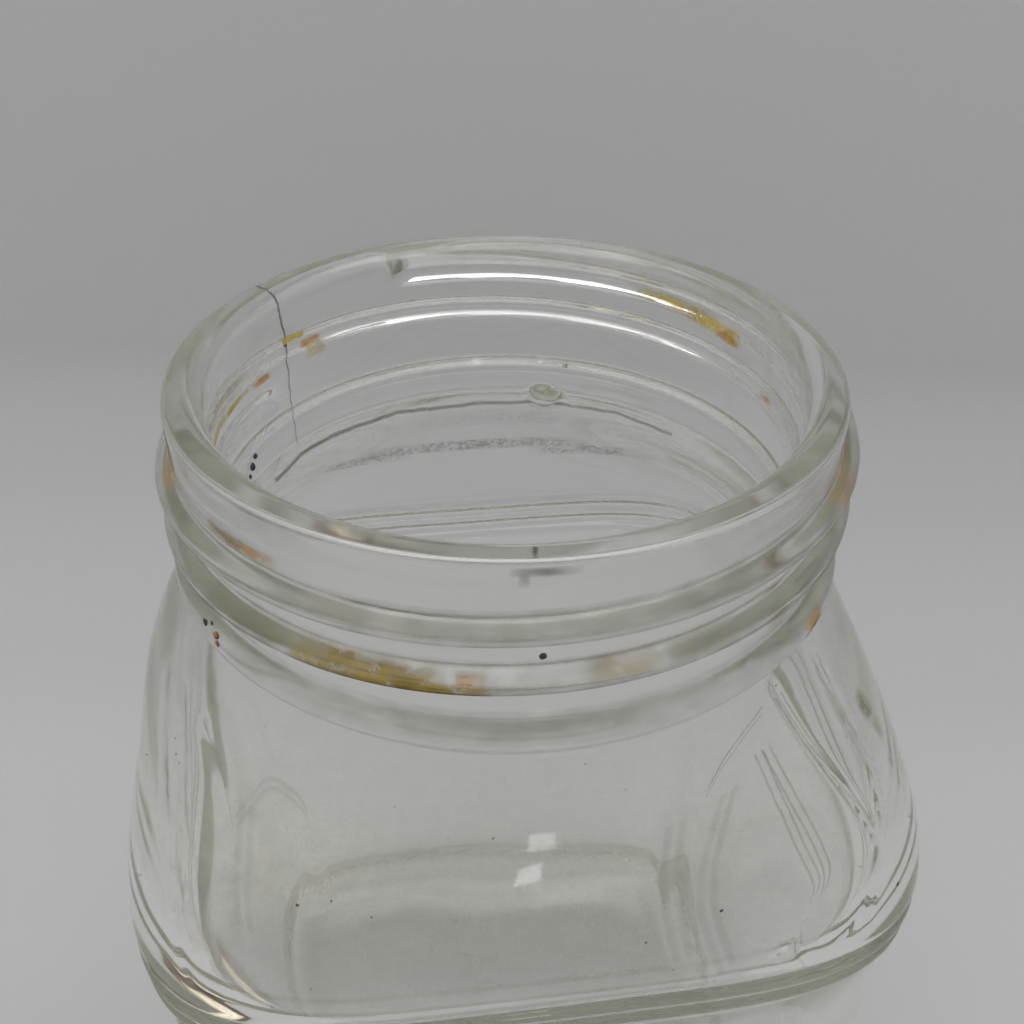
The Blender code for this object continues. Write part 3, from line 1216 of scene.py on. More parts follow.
@dataclass
class Residue:
    """Thin films of rust, old lacquer and dust on the jar, with painted shade on the thread's ridges and
    painted light over the shoulder.
    """

    jar: GlassJar
    clear: float = 0.09
    inner_clear: float = 0.25
    spacing: float = 0.35
    fewest_cells: int = 6
    gain: float = 1.7
    edge_power: float = 0.7
    usual_cover: float = 0.75
    cover_stray: float = 0.6
    stray_turns: float = 14.0
    stray_depths: float = 0.9
    thread_stains: tuple[Stain, ...] = (
        Stain(-117.0, 11.9, 12.0, 1.4, 1.0, Tone.OCHRE),
        Stain(-106.0, 12.2, 7.0, 0.9, 0.9, Tone.OCHRE),
        Stain(-136.0, 11.7, 12.0, 1.2, 0.3, Tone.OLIVE),
        Stain(-81.0, 10.6, 5.5, 0.9, 0.4, Tone.OCHRE),
        Stain(-69.0, 10.6, 6.0, 0.8, 0.35, Tone.OLIVE),
        Stain(-143.0, 4.9, 5.0, 0.8, 0.45, Tone.OCHRE),
        Stain(-137.0, 4.8, 6.0, 0.8, 0.6, Tone.RUST),
        Stain(-167.0, 4.6, 5.0, 2.4, 0.8, Tone.RUST),
        Stain(-178.0, 3.0, 8.0, 1.7, 0.85, Tone.RUST),
        Stain(-27.0, 3.4, 3.5, 1.3, 0.7, Tone.RUST),
        Stain(-34.0, 5.6, 6.0, 2.0, 0.35, Tone.RUST),
        Stain(-40.0, 18.6, 3.5, 1.5, 0.85, Tone.RUST),
        Stain(-102.0, 11.4, 2.5, 0.8, 0.6, Tone.RUST),
        Stain(43.0, 5.7, 12.0, 0.9, 0.4, Tone.OLIVE),
        Stain(165.0, 8.5, 16.0, 0.6, 0.5, Tone.OCHRE),
    )
    inner_stains: tuple[Stain, ...] = (
        Stain(28.0, 4.7, 9.0, 1.0, 1.0, Tone.STRAW),
        Stain(40.0, 4.1, 11.0, 0.9, 0.6, Tone.STRAW),
        Stain(24.0, 5.4, 4.0, 0.6, 0.8, Tone.UMBER),
        Stain(139.0, 6.0, 4.0, 0.5, 1.0, Tone.STRAW),
        Stain(134.0, 7.4, 3.4, 0.6, 1.0, Tone.UMBER),
        Stain(132.5, 8.6, 3.2, 1.1, 0.5, Tone.STRAW),
        Stain(151.0, 8.6, 4.0, 0.5, 0.9, Tone.UMBER),
        Stain(165.0, 8.2, 9.0, 0.45, 0.8, Tone.STRAW),
        Stain(178.0, 7.6, 9.0, 0.5, 0.8, Tone.STRAW),
        Stain(7.0, 8.7, 3.0, 0.5, 0.6, Tone.UMBER),
    )
    inner_dust: tuple[Stain, ...] = (
        Stain(90.0, 31.3, 27.0, 1.3, 0.55, Tone.LINT, 0.0),
        Stain(64.0, 33.0, 14.0, 1.4, 0.42, Tone.LINT, 0.0),
        Stain(116.0, 32.6, 12.0, 1.2, 0.38, Tone.LINT, 0.0),
        Stain(80.0, 25.4, 30.0, 1.8, 0.12, Tone.LINT, 0.0),
    )
    # The first three are painted shade: dark bands along the thread's ridges at the front. The last two are
    # soot marks on the lip.
    ridge_shade_and_soot: tuple[Stain, ...] = (
        Stain(-80.0, 5.7, 95.0, 1.4, 0.26, Tone.PAINTED_SHADE),
        Stain(-80.0, 11.2, 95.0, 1.7, 0.3, Tone.PAINTED_SHADE),
        Stain(-80.0, 16.8, 95.0, 1.5, 0.2, Tone.PAINTED_SHADE, 0.0),
        Stain(-92.0, 0.95, 5.0, 0.5, 0.4, Tone.SOOT, 0.0),
        Stain(-95.0, 1.7, 0.9, 0.8, 0.35, Tone.SOOT, 0.0),
    )
    # The first two are painted light: pale films that brighten the front of the shoulder. The last two are
    # olive stains.
    shoulder_light_and_stains: tuple[Stain, ...] = (
        Stain(-98.0, 32.0, 88.0, 12.0, 0.1, Tone.PAINTED_LIGHT, 0.0),
        Stain(-128.0, 30.0, 16.0, 5.0, 0.1, Tone.PAINTED_LIGHT, 0.0),
        Stain(-34.0, 29.6, 2.2, 1.3, 0.55, Tone.OLIVE, 0.0),
        Stain(-34.3, 31.6, 1.6, 0.8, 0.4, Tone.OLIVE, 0.0),
    )

    def film(
        self, name: str, stains: tuple[Stain, ...], inside: bool, finish: FilmFinish, effects: Effects
    ) -> bpy.types.Object:
        """Lays one film, a fine sheet over each stain just clear of the glass.

        Args:
            name: the film's name.
            stains: its patches.
            inside: whether it lies on the inside of the glass.
            finish: its finish.
            effects: the shared surface effects.

        Returns:
            The film.
        """
        shape = bmesh.new()
        cover = shape.verts.layers.float.new("cover")
        tone = shape.verts.layers.float_color.new("tone")
        for stain in stains:
            self._patch(shape, stain, inside, cover, tone)
        bmesh.ops.recalc_face_normals(shape, faces=shape.faces)
        piece = new_piece(name, shape, finish.material(effects))
        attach(piece, Body.JAR.value)
        return piece

    def _patch(
        self,
        shape: bmesh.types.BMesh,
        stain: Stain,
        inside: bool,
        cover: bmesh.types.BMLayerItem,
        tone: bmesh.types.BMLayerItem,
    ) -> None:
        """Adds one stain's sheet to a film.

        Args:
            shape: the film's mesh.
            stain: the patch.
            inside: whether it lies on the inside of the glass.
            cover: the layer that holds how much the film hides.
            tone: the layer that holds its colour.
        """
        wide = 2 * math.radians(stain.half_turn) * self.jar.neck_radius
        across = max(self.fewest_cells, int(wide / self.spacing))
        down = max(self.fewest_cells, int(2 * stain.half_depth / self.spacing))
        made = bmesh.ops.create_grid(shape, x_segments=across, y_segments=down, size=1.0)
        verts = made["verts"]
        angle = np.array([math.radians(stain.angle + stain.half_turn * vert.co.x) for vert in verts])
        fall = stain.fall * stain.half_turn
        depth = np.array([stain.depth - stain.half_depth * vert.co.y + fall * vert.co.x for vert in verts])
        if inside:
            reach = self.jar.inner_reach(angle, depth) - self.clear - self.inner_clear
        else:
            reach = self.jar.outer_reach(angle, depth) + self.clear
        for at, vert in enumerate(verts):
            fade = max(0.0, 1.0 - vert.co.x**2) * max(0.0, 1.0 - vert.co.y**2)
            spot = Vector((angle[at] * self.stray_turns, depth[at] * self.stray_depths, stain.angle))
            wander = self.usual_cover + self.cover_stray * noise.noise(spot)
            vert[cover] = max(0.0, min(1.0, self.gain * stain.strength * fade**self.edge_power * wander))
            vert[tone] = (*stain.tone.value, 1.0)
            vert.co = self.jar.place(angle[at], reach[at], depth[at])

    def build(self, effects: Effects) -> list[bpy.types.Object]:
        """Lays the films on the thread and over and inside the shoulder.

        Args:
            effects: the shared surface effects.

        Returns:
            The films.
        """
        # The ridge film is mostly painted shade, and the shoulder film mostly painted light.
        ridge_shade = FilmFinish("ridge_shade_and_soot", Pattern(260.0, 0.85, 0.3))
        light_film = FilmFinish("shoulder_light_and_stains", Pattern(2400.0, 0.6, 0.15), roughness=0.9)
        thread = FilmFinish("thread_residue", Pattern(1000.0, 0.72, 0.14))
        neck = FilmFinish("neck_stains", Pattern(1300.0, 0.72, 0.14))
        dust = FilmFinish("shoulder_dust", Pattern(1600.0, 0.5, 0.12), opacity=0.75, roughness=0.9)
        return [
            self.film("thread_residue", self.thread_stains, False, thread, effects),
            self.film("neck_stains", self.inner_stains, True, neck, effects),
            self.film("shoulder_dust", self.inner_dust, True, dust, effects),
            self.film("ridge_shade_and_soot", self.ridge_shade_and_soot, False, ridge_shade, effects),
            self.film("shoulder_light_and_stains", self.shoulder_light_and_stains, False, light_film, effects),
        ]


@dataclass
class Ribbon:
    """A narrow ragged strip laid along a line of points."""

    line: list[Vector]
    width_from: float
    width_to: float
    cover_from: float
    cover_to: float
    sway: float
    level: bool
    aside: float = 0.0
    easing: int = 0
    steps: int = 90
    seed: int = 11
    steadiness: float = 0.8
    edge_fade: float = 0.6

    def points(self) -> list[Vector]:
        """Spreads points evenly along the line and eases its corners.

        Returns:
            The points, in metres.
        """
        far = np.concatenate([[0.0], np.cumsum([(b - a).length for a, b in zip(self.line, self.line[1:])])])
        spots = np.linspace(0.0, far[-1], self.steps + 1)
        axes = [np.interp(spots, far, [point[axis] for point in self.line]) for axis in range(3)]
        kernel = np.ones(2 * self.easing + 1) / (2 * self.easing + 1)
        axes = [np.convolve(np.pad(axis, self.easing, mode="edge"), kernel, mode="valid") for axis in axes]
        return [Vector(point) for point in zip(*axes)]

    def lay(self, shape: bmesh.types.BMesh, tone: Tone) -> None:
        """Lays the strip, upright across a level line and level across an upright one.

        Args:
            shape: the mesh it goes into, with layers named cover and tone.
            tone: its colour.
        """
        rng = random.Random(self.seed)
        cover = shape.verts.layers.float["cover"]
        colour = shape.verts.layers.float_color["tone"]
        made = bmesh.ops.create_grid(shape, x_segments=self.steps, y_segments=2, size=1.0)
        points = self.points()
        stray = [0.0]
        for _ in range(self.steps):
            stray.append(stray[-1] * self.steadiness + rng.uniform(-self.sway, self.sway))
        for vert in made["verts"]:
            at = round((vert.co.x + 1.0) / 2.0 * self.steps)
            part = at / self.steps
            arm = points[at] - JAR_AXIS
            side = Vector((0.0, 0.0, 1.0)) if self.level else Vector((-arm.y, arm.x, 0.0)).normalized()
            half = (self.width_from + (self.width_to - self.width_from) * part) / 2.0
            middle = self.cover_from + (self.cover_to - self.cover_from) * part
            vert[cover] = middle * (1.0 - self.edge_fade * vert.co.y**2)
            vert[colour] = (*tone.value, 1.0)
            vert.co = points[at] + side * (vert.co.y * half + self.aside + stray[at]) * MM


@dataclass
class WallLines:
    """The crack over the lip, the tide line inside the neck and the painted shade along the edges of the
    folds.
    """

    jar: GlassJar
    lip_path: Path = (
        (141.4, 33.25),
        (141.3, 32.9),
        (141.2, 32.3),
        (141.7, 31.7),
        (141.4, 31.0),
        (141.7, 30.3),
        (141.5, 29.8),
    )
    crack_path: Path = (
        (141.5, 2.4),
        (141.7, 4.0),
        (140.9, 6.5),
        (141.5, 13.5),
        (141.0, 19.0),
        (138.0, 23.5),
    )
    tide_path: Path = (
        (141.5, 26.5),
        (140.0, 24.5),
        (138.0, 22.5),
        (129.0, 22.0),
        (110.0, 22.0),
        (90.0, 22.5),
        (74.0, 22.0),
        (54.0, 21.7),
        (39.0, 22.3),
    )
    clear: float = 0.16
    lip_clear: float = 0.045
    least_depth: float = 0.005
    broad_fold: float = 0.7
    edge_place: float = 0.8
    narrow_edge: tuple[float, float] = (0.36, 0.42)
    broad_edge: tuple[float, float] = (1.0, 0.19)

    def on_wall(self, path: Path) -> list[Vector]:
        """Finds points just clear of the inside of the glass.

        Args:
            path: angles in degrees with depths in millimetres.

        Returns:
            The points, in metres.
        """
        points = []
        for turn, depth in path:
            angle = math.radians(turn)
            reach = float(self.jar.inner_reach(np.array([angle]), np.array([depth]))[0]) - self.clear
            points.append(self.jar.place(angle, reach, depth))
        return points

    def ribbons(
        self, name: str, ribbons: list[Ribbon], tone: Tone, material: bpy.types.Material
    ) -> bpy.types.Object:
        """Lays ribbons as one piece on the jar.

        Args:
            name: the piece's name.
            ribbons: the strips.
            tone: their colour.
            material: their finish.

        Returns:
            The piece.
        """
        shape = bmesh.new()
        shape.verts.layers.float.new("cover")
        shape.verts.layers.float_color.new("tone")
        for ribbon in ribbons:
            ribbon.lay(shape, tone)
        bmesh.ops.recalc_face_normals(shape, faces=shape.faces)
        piece = new_piece(name, shape, material)
        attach(piece, Body.JAR.value)
        return piece

    def fold_edge_shade(self) -> list[Ribbon]:
        """Finds the two edges of each fold inside the shoulder, for strips of painted shade.

        Returns:
            A strip for each edge, faint and wide on a broad fold.
        """
        edges = []
        for number, fold in enumerate(self.jar.folds):
            (first, top), (last, bottom) = fold.path[0], fold.path[-1]
            level = abs(math.radians(last - first)) * self.jar.body_half > abs(bottom - top)
            line = self.on_wall(fold.path)
            narrow = fold.half_width < self.broad_fold
            width, cover = self.narrow_edge if narrow else self.broad_edge
            # Each strip is painted shade: a dark line along one edge of a fold.
            for side in (-self.edge_place, self.edge_place):
                edges.append(
                    Ribbon(
                        line,
                        width_from=width,
                        width_to=width,
                        cover_from=cover,
                        cover_to=cover,
                        sway=0.03,
                        level=level,
                        aside=side * fold.half_width,
                        easing=5,
                        steps=60,
                        seed=number,
                    )
                )
        return edges

    def build(self, effects: Effects) -> list[bpy.types.Object]:
        """Lays the crack, the tide line and the painted shade along the edges of the folds.

        Args:
            effects: the shared surface effects.

        Returns:
            The three pieces.
        """
        over_lip = []
        for turn, reach in self.lip_path:
            depth = max(self.least_depth, self.jar.lip_at(reach) - self.lip_clear)
            over_lip.append(self.jar.place(math.radians(turn), reach, depth))
        crack = Ribbon(
            over_lip + self.on_wall(self.crack_path),
            width_from=0.42,
            width_to=0.12,
            cover_from=1.0,
            cover_to=0.5,
            sway=0.09,
            level=False,
        )
        tide = Ribbon(
            self.on_wall(self.tide_path),
            width_from=0.75,
            width_to=0.5,
            cover_from=0.85,
            cover_to=0.55,
            sway=0.05,
            level=True,
            steps=160,
        )
        tide_finish = FilmFinish("tide_line", Pattern(1100.0, 0.78, 0.1))
        fold_shade_finish = FilmFinish("fold_edge_shade", Pattern(500.0, 0.9, 0.3))
        return [
            self.ribbons("crack_line", [crack], Tone.SOOT, CrackFinish().material(effects)),
            self.ribbons("tide_line", [tide], Tone.OLIVE, tide_finish.material(effects)),
            self.ribbons("fold_edge_shade", self.fold_edge_shade(), Tone.PAINTED_SHADE, fold_shade_finish.material(effects)),
        ]


@dataclass(frozen=True)
class Grain:
    """A speck of grit: where it sticks, in degrees and millimetres, and its size."""

    angle: float
    depth: float
    size: float
    inside: bool = False


@dataclass
class Grit:
    """Dark specks and rust flakes stuck to the glass."""

    jar: GlassJar
    dark: tuple[Grain, ...] = (
        Grain(-151.6, 17.3, 0.45),
        Grain(-150.2, 17.0, 0.25),
        Grain(-92.2, 9.5, 0.36),
        Grain(158.8, 17.6, 0.55, True),
        Grain(157.2, 16.7, 0.4, True),
        Grain(160.3, 18.5, 0.35, True),
        Grain(-70.0, 36.0, 0.22),
        Grain(-122.0, 33.0, 0.2),
        Grain(-47.0, 40.5, 0.25),
    )
    flakes: tuple[Grain, ...] = (
        Grain(-147.7, 17.3, 0.5),
        Grain(-146.6, 17.7, 0.34),
        Grain(-40.5, 18.2, 0.3),
        Grain(136.5, 8.4, 0.3),
    )
    inner_clear: float = 0.2
    flatness: float = 0.55
    least_bulge: float = 0.75
    most_bulge: float = 1.2
    softening: float = 0.4
    speck_count: int = 34
    speck_turns: tuple[float, float] = (-158.0, -32.0)
    speck_depths: tuple[float, float] = (21.5, 44.0)
    speck_sizes: tuple[float, float] = (0.07, 0.15)
    seed: int = 5

    def lump(self, shape: bmesh.types.BMesh, grain: Grain, rng: random.Random) -> None:
        """Adds one flattened, irregular lump.

        Args:
            shape: the mesh it goes into.
            grain: the speck.
            rng: the source of its irregularity.
        """
        angle, depth = math.radians(grain.angle), grain.depth
        at = np.array([angle]), np.array([depth])
        if grain.inside:
            reach = float(self.jar.inner_reach(*at)[0]) - self.inner_clear
        else:
            reach = float(self.jar.outer_reach(*at)[0])
        out = Vector((math.cos(angle), math.sin(angle), 0.0))
        centre = self.jar.place(angle, reach, depth)
        made = bmesh.ops.create_icosphere(shape, subdivisions=2, radius=grain.size * MM)
        for vert in made["verts"]:
            vert.co *= rng.uniform(self.least_bulge, self.most_bulge)
            vert.co -= out * vert.co.dot(out) * self.flatness
            vert.co += centre
        bmesh.ops.smooth_vert(
            shape,
            verts=made["verts"],
            factor=self.softening,
            use_axis_x=True,
            use_axis_y=True,
            use_axis_z=True,
        )

    def specks(self, rng: random.Random) -> tuple[Grain, ...]:
        """Scatters tiny specks over the front of the shoulder."""
        ranges = (self.speck_turns, self.speck_depths, self.speck_sizes)
        return tuple(Grain(*(rng.uniform(*ends) for ends in ranges)) for _ in range(self.speck_count))

    def build(self, effects: Effects) -> list[bpy.types.Object]:
        """Makes the dark grit, the rust flakes and the small specks.

        Args:
            effects: the shared surface effects.

        Returns:
            One piece for each kind.
        """
        rng = random.Random(self.seed)
        kinds = (
            (GrainFinish("dust_specks", (0.3, 0.25, 0.18), (0.14, 0.12, 0.09)), self.specks(rng)),
            (GrainFinish("dark_grit", (0.09, 0.085, 0.075), (0.035, 0.033, 0.03)), self.dark),
            (GrainFinish("rust_flakes", (0.42, 0.19, 0.06), (0.2, 0.075, 0.03)), self.flakes),
        )
        pieces = []
        for finish, grains in kinds:
            shape = bmesh.new()
            for grain in grains:
                self.lump(shape, grain, rng)
            piece = new_piece(finish.name, shape, finish.material(effects))
            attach(piece, Body.JAR.value)
            pieces.append(piece)
        return pieces


@dataclass
class Closure:
    """The screw band, lid and sealing ring, upside down on the table. Sizes are in millimetres."""

    band_inner: float = 35.4
    band_outer: float = 36.2
    band_height: float = 16.5
    band_sheet: float = 0.8
    band_flange: float = 7.0
    band_corner: float = 1.6
    band_curl: float = 1.1
    curl_margin: float = 0.12
    curl_from: float = math.radians(-62.0)
    curl_to: float = math.radians(152.0)
    band_row: float = 0.36
    flange_bevel: float = 0.1
    thread_depth: float = 0.42
    thread_width: float = 3.0
    thread_pitch: float = THREAD_PITCH
    thread_low: float = 3.4
    thread_sweep: float = math.radians(590.0)
    thread_fade: float = math.radians(40.0)
    lid_radius: float = 33.2
    lid_sheet: float = 0.7
    lid_edge_rise: float = 1.1
    lid_channel: float = 1.1
    lid_panel: float = 2.2
    channel_in: float = 29.1
    button_radius: float = 14.0
    button_rise: float = 0.5
    panel_rib: float = 0.22
    rib_in: float = 21.5
    rib_middle: float = 22.3
    rib_out: float = 23.1
    lid_step: float = 1.0
    lid_corner: float = 0.32
    lid_rust_width: float = 3.5
    lid_rust_in: float = 1.5
    seal_in: float = 30.1
    seal_out: float = 32.0
    seal_bottom: float = 2.1
    seal_height: float = 1.3
    seal_corner: float = 0.3
    dent_top_half: float = 0.45
    dent_low_half: float = 0.2
    dent_depth: float = 0.3
    hem_wear: float = 0.55
    hem_reach: float = 3.2
    seat_wear: float = 0.7
    seat_reach: float = 1.6
    columns: int = 240
    band_finish: PlateFinish = PlateFinish(
        "tinned_band", (0.62, 0.61, 0.58), (0.47, 0.455, 0.43), 1.0, 0.36, 0.55, 0.2
    )
    lid_finish: PlateFinish = PlateFinish(
        "plated_lid", (0.74, 0.68, 0.52), (0.56, 0.50, 0.37), 0.85, 0.24, 0.45, 0.16
    )
    seal_finish: CompoundFinish = CompoundFinish()

    def _turned(self, section: Section, closed: bool) -> bmesh.types.BMesh:
        """Spins a section and lays its UV map.

        Args:
            section: the half section, in millimetres.
            closed: whether its ends meet.

        Returns:
            The shape, about the Z axis.
        """
        turning = Turning(section, self.columns, closed)
        shape = turning.shape()
        turning.lay_map(shape)
        return shape

    def _finish(
        self,
        name: str,
        shape: bmesh.types.BMesh,
        finish: PlateFinish | CompoundFinish,
        effects: Effects,
        body: Body,
        node: str,
    ) -> bpy.types.Object:
        """Moves a shape to the closure's place and puts it in place of its plain solid.

        Args:
            name: the piece's name.
            shape: the mesh, about the Z axis.
            finish: its finish.
            effects: the shared surface effects.
            body: the body it rides on.
            node: the solid it stands for.

        Returns:
            The piece.
        """
        bmesh.ops.translate(shape, verts=shape.verts, vec=CLOSURE_AXIS)
        bmesh.ops.recalc_face_normals(shape, faces=shape.faces)
        piece = new_piece(name, shape, finish.material(effects))
        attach(piece, body.value)
        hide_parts(node)
        return piece

    def band_section(self) -> Section:
        """Draws the band's half section.

        Returns:
            Points from the flange's inner edge out, up to the curl and down inside.
        """
        flange_in = self.band_outer - self.band_flange
        curl = self.band_outer - self.band_sheet / 2
        swell = self.band_curl + self.band_sheet / 2 - self.curl_margin
        curl_z = self.band_height - swell
        edge = flange_in + self.flange_bevel
        section = [(edge, self.band_sheet), (flange_in, self.band_sheet / 2), (edge, 0.0)]
        corner_in = self.band_outer - self.band_corner - 0.6
        section += [(reach, 0.0) for reach in np.linspace(flange_in + 1.0, corner_in, 5)]
        for turn in np.linspace(0.0, math.pi / 2, 7):
            reach = self.band_outer - self.band_corner * (1.0 - math.sin(turn))
            section.append((reach, self.band_corner * (1.0 - math.cos(turn))))
        rising = np.arange(self.band_corner + 0.4, curl_z - 1.4, self.band_row)
        section += [(self.band_outer, z) for z in rising]
        for turn in np.linspace(self.curl_from, self.curl_to, 15):
            section.append((curl + swell * math.cos(turn), curl_z + swell * math.sin(turn)))
        section.append((self.band_inner, curl_z - 0.3))
        falling = np.arange(curl_z - 0.9, self.band_corner + 0.3, -self.band_row)
        section += [(self.band_inner, z) for z in falling]
        inner_corner = self.band_corner - self.band_sheet
        for turn in np.linspace(0.0, math.pi / 2, 6):
            reach = self.band_inner - inner_corner * (1.0 - math.cos(turn))
            section.append((reach, self.band_sheet + inner_corner * (1.0 - math.sin(turn))))
        flat = np.linspace(self.band_inner - 1.4, flange_in + 1.0, 5)
        section += [(reach, self.band_sheet) for reach in flat]
        return [(float(reach), float(z)) for reach, z in section]

    def rolled_depth(self, angle: float, z: float) -> float:
        """How far the rolled thread presses the band's wall inwards at a point.

        Args:
            angle: the point's angle about the axis, in radians.
            z: its height, in millimetres.

        Returns:
            The depth in millimetres.
        """
        depth = 0.0
        first = angle % math.tau
        for sweep in (first, first + math.tau):
            middle = self.thread_low + self.thread_pitch * sweep / math.tau
            aside = abs(z - middle) / (self.thread_width / 2)
            fade = min(1.0, sweep / self.thread_fade, (self.thread_sweep - sweep) / self.thread_fade)
            if aside < 1.0 and fade > 0.0:
                depth = max(depth, self.thread_depth * fade * math.cos(aside * math.pi / 2))
        return depth

    def band(self, effects: Effects) -> bpy.types.Object:
        """Makes the band with its rolled thread, and marks where it rusts first.

        Args:
            effects: the shared surface effects.

        Returns:
            The piece.
        """
        shape = self._turned(self.band_section(), closed=True)
        worn = shape.verts.layers.float.new("worn")
        for vert in shape.verts:
            reach = math.hypot(vert.co.x, vert.co.y)
            z = vert.co.z / MM
            if self.band_inner - 0.1 < reach / MM < self.band_outer + 0.1:
                press = self.rolled_depth(math.atan2(vert.co.y, vert.co.x), z) * MM
                vert.co.x *= 1.0 - press / reach
                vert.co.y *= 1.0 - press / reach
            hem = self.hem_wear * max(0.0, 1.0 - abs(z - self.band_height) / self.hem_reach)
            seat = self.seat_wear * max(0.0, 1.0 - abs(z - self.band_sheet) / self.seat_reach)
            vert[worn] = min(1.0, max(hem, seat))
        return self._finish("rolled_band", shape, self.band_finish, effects, Body.BAND, "screw_band")

    def lid_section(self) -> Section:
        """Draws the lid's half section.

        Returns:
            Points under and over the button, ribbed panel, step, channel and upturned edge.
        """
        sheet, low, high = self.lid_sheet, self.lid_channel, self.lid_panel
        drop, edge_in = self.button_rise, self.lid_radius - self.lid_sheet
        rib = self.panel_rib
        under = [
            (0.0, high - drop),
            (self.button_radius - self.lid_step, high - drop),
            (self.button_radius, high),
            (self.rib_in, high),
            (self.rib_middle, high - rib),
            (self.rib_out, high),
            (self.channel_in - self.lid_step, high),
            (self.channel_in, low),
            (self.lid_radius - sheet / 2, low),
            (self.lid_radius, low + sheet / 2),
            (self.lid_radius, low + sheet + self.lid_edge_rise),
        ]
        over = [
            (edge_in, low + sheet + self.lid_edge_rise),
            (edge_in, low + sheet),
            (self.channel_in + sheet / 2, low + sheet),
            (self.channel_in - self.lid_step + sheet / 2, high + sheet),
            (self.rib_out, high + sheet),
            (self.rib_middle, high + sheet - rib),
            (self.rib_in, high + sheet),
            (self.button_radius, high + sheet),
            (self.button_radius - self.lid_step, high + sheet - drop),
            (0.0, high + sheet - drop),
        ]
        return rounded(under + over, self.lid_corner)

    def lid(self, effects: Effects) -> bpy.types.Object:
        """Makes the lid, and marks its edge and channel as the places that rust first.

        Args:
            effects: the shared surface effects.

        Returns:
            The piece.
        """
        shape = self._turned(self.lid_section(), closed=False)
        worn = shape.verts.layers.float.new("worn")
        for vert in shape.verts:
            reach = math.hypot(vert.co.x, vert.co.y) / MM
            rusting = (reach - self.channel_in + self.lid_rust_in) / self.lid_rust_width
            vert[worn] = min(1.0, max(0.0, rusting))
        return self._finish("pressed_lid", shape, self.lid_finish, effects, Body.LID, "lid_disc")

    def seal(self, effects: Effects) -> bpy.types.Object:
        """Makes the sealing ring, dented all round where a rim has pressed it.

        Args:
            effects: the shared surface effects.

        Returns:
            The piece.
        """
        bottom, top = self.seal_bottom, self.seal_bottom + self.seal_height
        middle = (self.seal_in + self.seal_out) / 2
        section = [
            (middle, bottom),
            (self.seal_out, bottom),
            (self.seal_out, top),
            (middle + self.dent_top_half, top),
            (middle + self.dent_low_half, top - self.dent_depth),
            (middle - self.dent_low_half, top - self.dent_depth),
            (middle - self.dent_top_half, top),
            (self.seal_in, top),
            (self.seal_in, bottom),
            (middle - 0.3, bottom),
        ]
        shape = self._turned(rounded(section, self.seal_corner), closed=True)
        return self._finish("seal_ring", shape, self.seal_finish, effects, Body.LID, "sealing_ring")

    def build(self, effects: Effects) -> list[bpy.types.Object]:
        """Makes the three pieces of the closure."""
        return [self.band(effects), self.lid(effects), self.seal(effects)]


